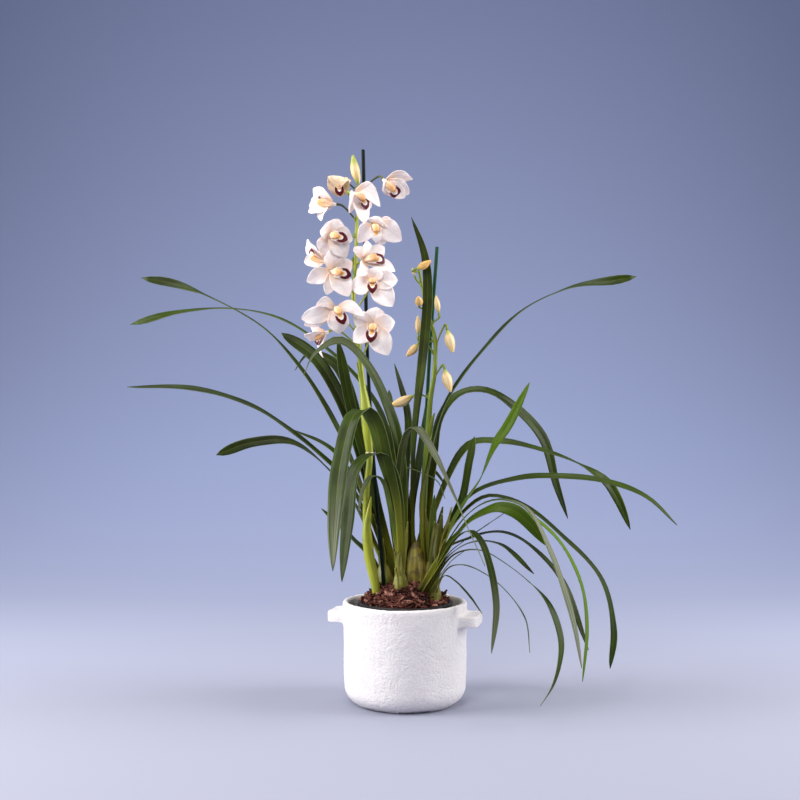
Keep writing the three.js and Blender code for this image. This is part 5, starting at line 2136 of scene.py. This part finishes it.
BLOOMS = {
    "01": Bloom(at=(-100, -14, 694), yaw=-62, pitch=3, roll=-102, size=1.15, leaves_stem=672, dusk=0.9,
        tepals=[(-29, 22, -6, 22, 3, 3), (-34, -1, -4, 24, 2), (-31, 9, -14, 20, 2), (-34, -12, 0, 22, 3),
        (-17, -24, 9, 25, 5, 0)]),
    "02": Bloom(at=(-91, -12, 728), yaw=-5, pitch=-30, roll=6, size=0.9, leaves_stem=714, dusk=0.95,
        cream=0.85, tepals=[(-2, -14, 11, 25, 10, 0), (0, -2, 13, 30, -4, 0), (-15, -13, 3, 26, 5, 0),
        (13, -14, 3, 25, 5, 0), (-2, -22, -7, 26, 1)]),
    "03": Bloom(at=(-70, -33, 705), yaw=52, pitch=-18, roll=42, size=1.05, leaves_stem=690,
        tepals=[(36, -19, 6, 20, 3, 12), (30, 7, -4, 25, 5, 4), (-7, -28, 10, 23, 5, 10),
        (23, -17, -14, 24, 2), (15, -40, -4, 27, 3)]),
    "04": Bloom(at=(-28, -18, 725), yaw=39, pitch=-37, roll=59, size=1.1, leaves_stem=712, dusk=0.85,
        tepals=[(38, 2, 2, 19, 4, 9), (34, -16, -8, 24, 4, 2), (-2, -15, 10, 16, 3, 3),
        (28, -22, -5, 20, 2), (7, -19, -6, 16, 2)]),
    "05": Bloom(at=(-103, -36, 647), yaw=25, pitch=-3, roll=75, size=1, leaves_stem=650,
        tepals=[(-13, 6, 8, 24, 6, 4), (14, 23, -3, 22, 3), (-11, -25, 0, 29, 3), (31, -5, -5, 24, 3, 3),
        (23, -29, -2, 26, 3)]),
    "06": Bloom(at=(-113, -10, 614), yaw=-60, pitch=5, roll=-150, size=1.05, leaves_stem=612,
        tepals=[(-25, 31, -2, 22, 4), (-27, -2, 8, 24, 4), (-9, -12, 4, 18, 3), (-22, 16, -14, 20, 2),
        (-3, 24, -10, 18, 2)]),
    "07": Bloom(at=(-100, -34, 598), yaw=28, pitch=-5, roll=78, size=1.05, leaves_stem=572,
        tepals=[(-35, -14, -2, 22, 4, 3), (1, 31, 4, 28, 4), (-8, -32, 4, 18, 3), (28, 14, -6, 22, 3),
        (23, -35, 8, 28, 4)]),
    "08": Bloom(at=(-42, -36, 662), yaw=10, pitch=-20, roll=5, size=1.05, leaves_stem=640, banded=0.0,
        tepals=[(7, 9, 10, 24, 6, 2), (37, -22, 0, 28, 4, 5), (-22, -25, 4, 22, 4, 6),
        (27, 1, -10, 18, 2, 3), (14, -26, -9, 20, 2)]),
    "09": Bloom(at=(-56, -35, 613), yaw=47, pitch=14, roll=76, size=1.12, leaves_stem=590,
        tepals=[(-14, 19, 0, 22, 3), (4, 27, 7, 19, 3), (-4, -23, 21, 17, 3), (28, 20, -9, 22, 3),
        (43, -13, -3, 19, 3)]),
    "10": Bloom(at=(-45, -42, 583), yaw=2, pitch=8, roll=0, size=0.95, leaves_stem=545,
        tepals=[(9, 20, 4, 20, 3), (35, 3, 2, 26, 3), (-20, 20, -11, 20, 2), (28, -33, 4, 29, 4),
        (-28, -9, -4, 26, 3)]),
    "11": Bloom(at=(-95, -38, 548), yaw=15, pitch=-14, roll=25, size=1.05, leaves_stem=514,
        tepals=[(-27, 3, 9, 14, 4, 7), (40, -12, 12, 16, 3, 8), (-47, -15, 2, 24, 4, -1),
        (5, -35, -2, 28, 3), (-44, -24, -9, 20, 3)]),
    "12": Bloom(at=(-110, -16, 515), yaw=-66, pitch=-20, roll=-45, size=0.85, leaves_stem=496,
        tepals=[(-22, 13, -4, 20, 3), (-30, -3, 8, 22, 3), (-21, 5, -12, 18, 2), (-6, -34, 6, 16, 3),
        (-11, -23, -8, 18, 2)]),
    "13": Bloom(at=(-43, -34, 524), yaw=-4, pitch=-6, roll=-8, size=1.1, leaves_stem=474,
        tepals=[(4, 26, -1, 25, 3), (29, 5, 3, 25, 3), (-27, 14, -6, 23, 3), (20, -41, 6, 29, 5),
        (-28, -22, 0, 24, 3)]),
}

BUDS = {
    "01": Bud(TALL, (-66, -1, 724), (-73, -3, 764), 6.4, 719, green_tip=1.0),
    "02": Bud(TALL, (-66, 6, 722), (-65, 6, 747), 3.0, 712, green_tip=0.6),
    "03": Bud(SHORT, (16, 4, 606), (36, -1, 617), 5.4, 604, warm=0.85),
    "04": Bud(SHORT, (14, 21, 598), (10, 20, 609), 2.2, 584, warm=0.3),
    "05": Bud(SHORT, (20, 14, 556), (19, -4, 566), 5.8, 550, warm=0.7),
    "06": Bud(SHORT, (48, 24, 545), (44, 22, 570), 4.2, 530),
    "07": Bud(SHORT, (19, 18, 514), (18, 16, 541), 4.2, 505, warm=0.3),
    "08": Bud(SHORT, (19, 22, 502), (2, 18, 484), 5.8, 488, warm=0.45),
    "09": Bud(SHORT, (60, 20, 521), (68, 17, 489), 7, 496),
    "10": Bud(SHORT, (56, 20, 466), (65, 17, 433), 7, 452),
    "11": Bud(SHORT, (12, 25, 428), (-21, 23, 414), 7, 424, warm=0.25),
}


@dataclass
class PottedOrchid:
    """The whole plant in its pots."""

    palette: Palette = field(default_factory=Palette)

    def build(self) -> None:
        """Builds each sub-assembly in order."""
        OuterPot().build(self.palette)
        NurseryPot().build(self.palette)
        BarkBed().build(self.palette)
        for cane in CANES:
            cane.build(self.palette)
        for node, shoot in SHOOTS.items():
            shoot.build(node, self.palette)
        for node, spike in SPIKES.items():
            stalks = [bud.stalk() for bud in BUDS.values() if bud.spike == node]
            if node == TALL:
                stalks += [bloom.stalk() for bloom in BLOOMS.values()]
            spike.build(node, stalks, self.palette)
        for number, bloom in BLOOMS.items():
            bloom.build(number, self.palette)
        for number, bud in BUDS.items():
            bud.build(number, self.palette)


def main() -> None:
    """Loads the frame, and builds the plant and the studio."""
    logging.basicConfig(level=logging.INFO, format="%(message)s")
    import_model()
    orchid = PottedOrchid()
    orchid.build()
    Studio().build(orchid.palette)


if __name__ == "__main__":
    main()
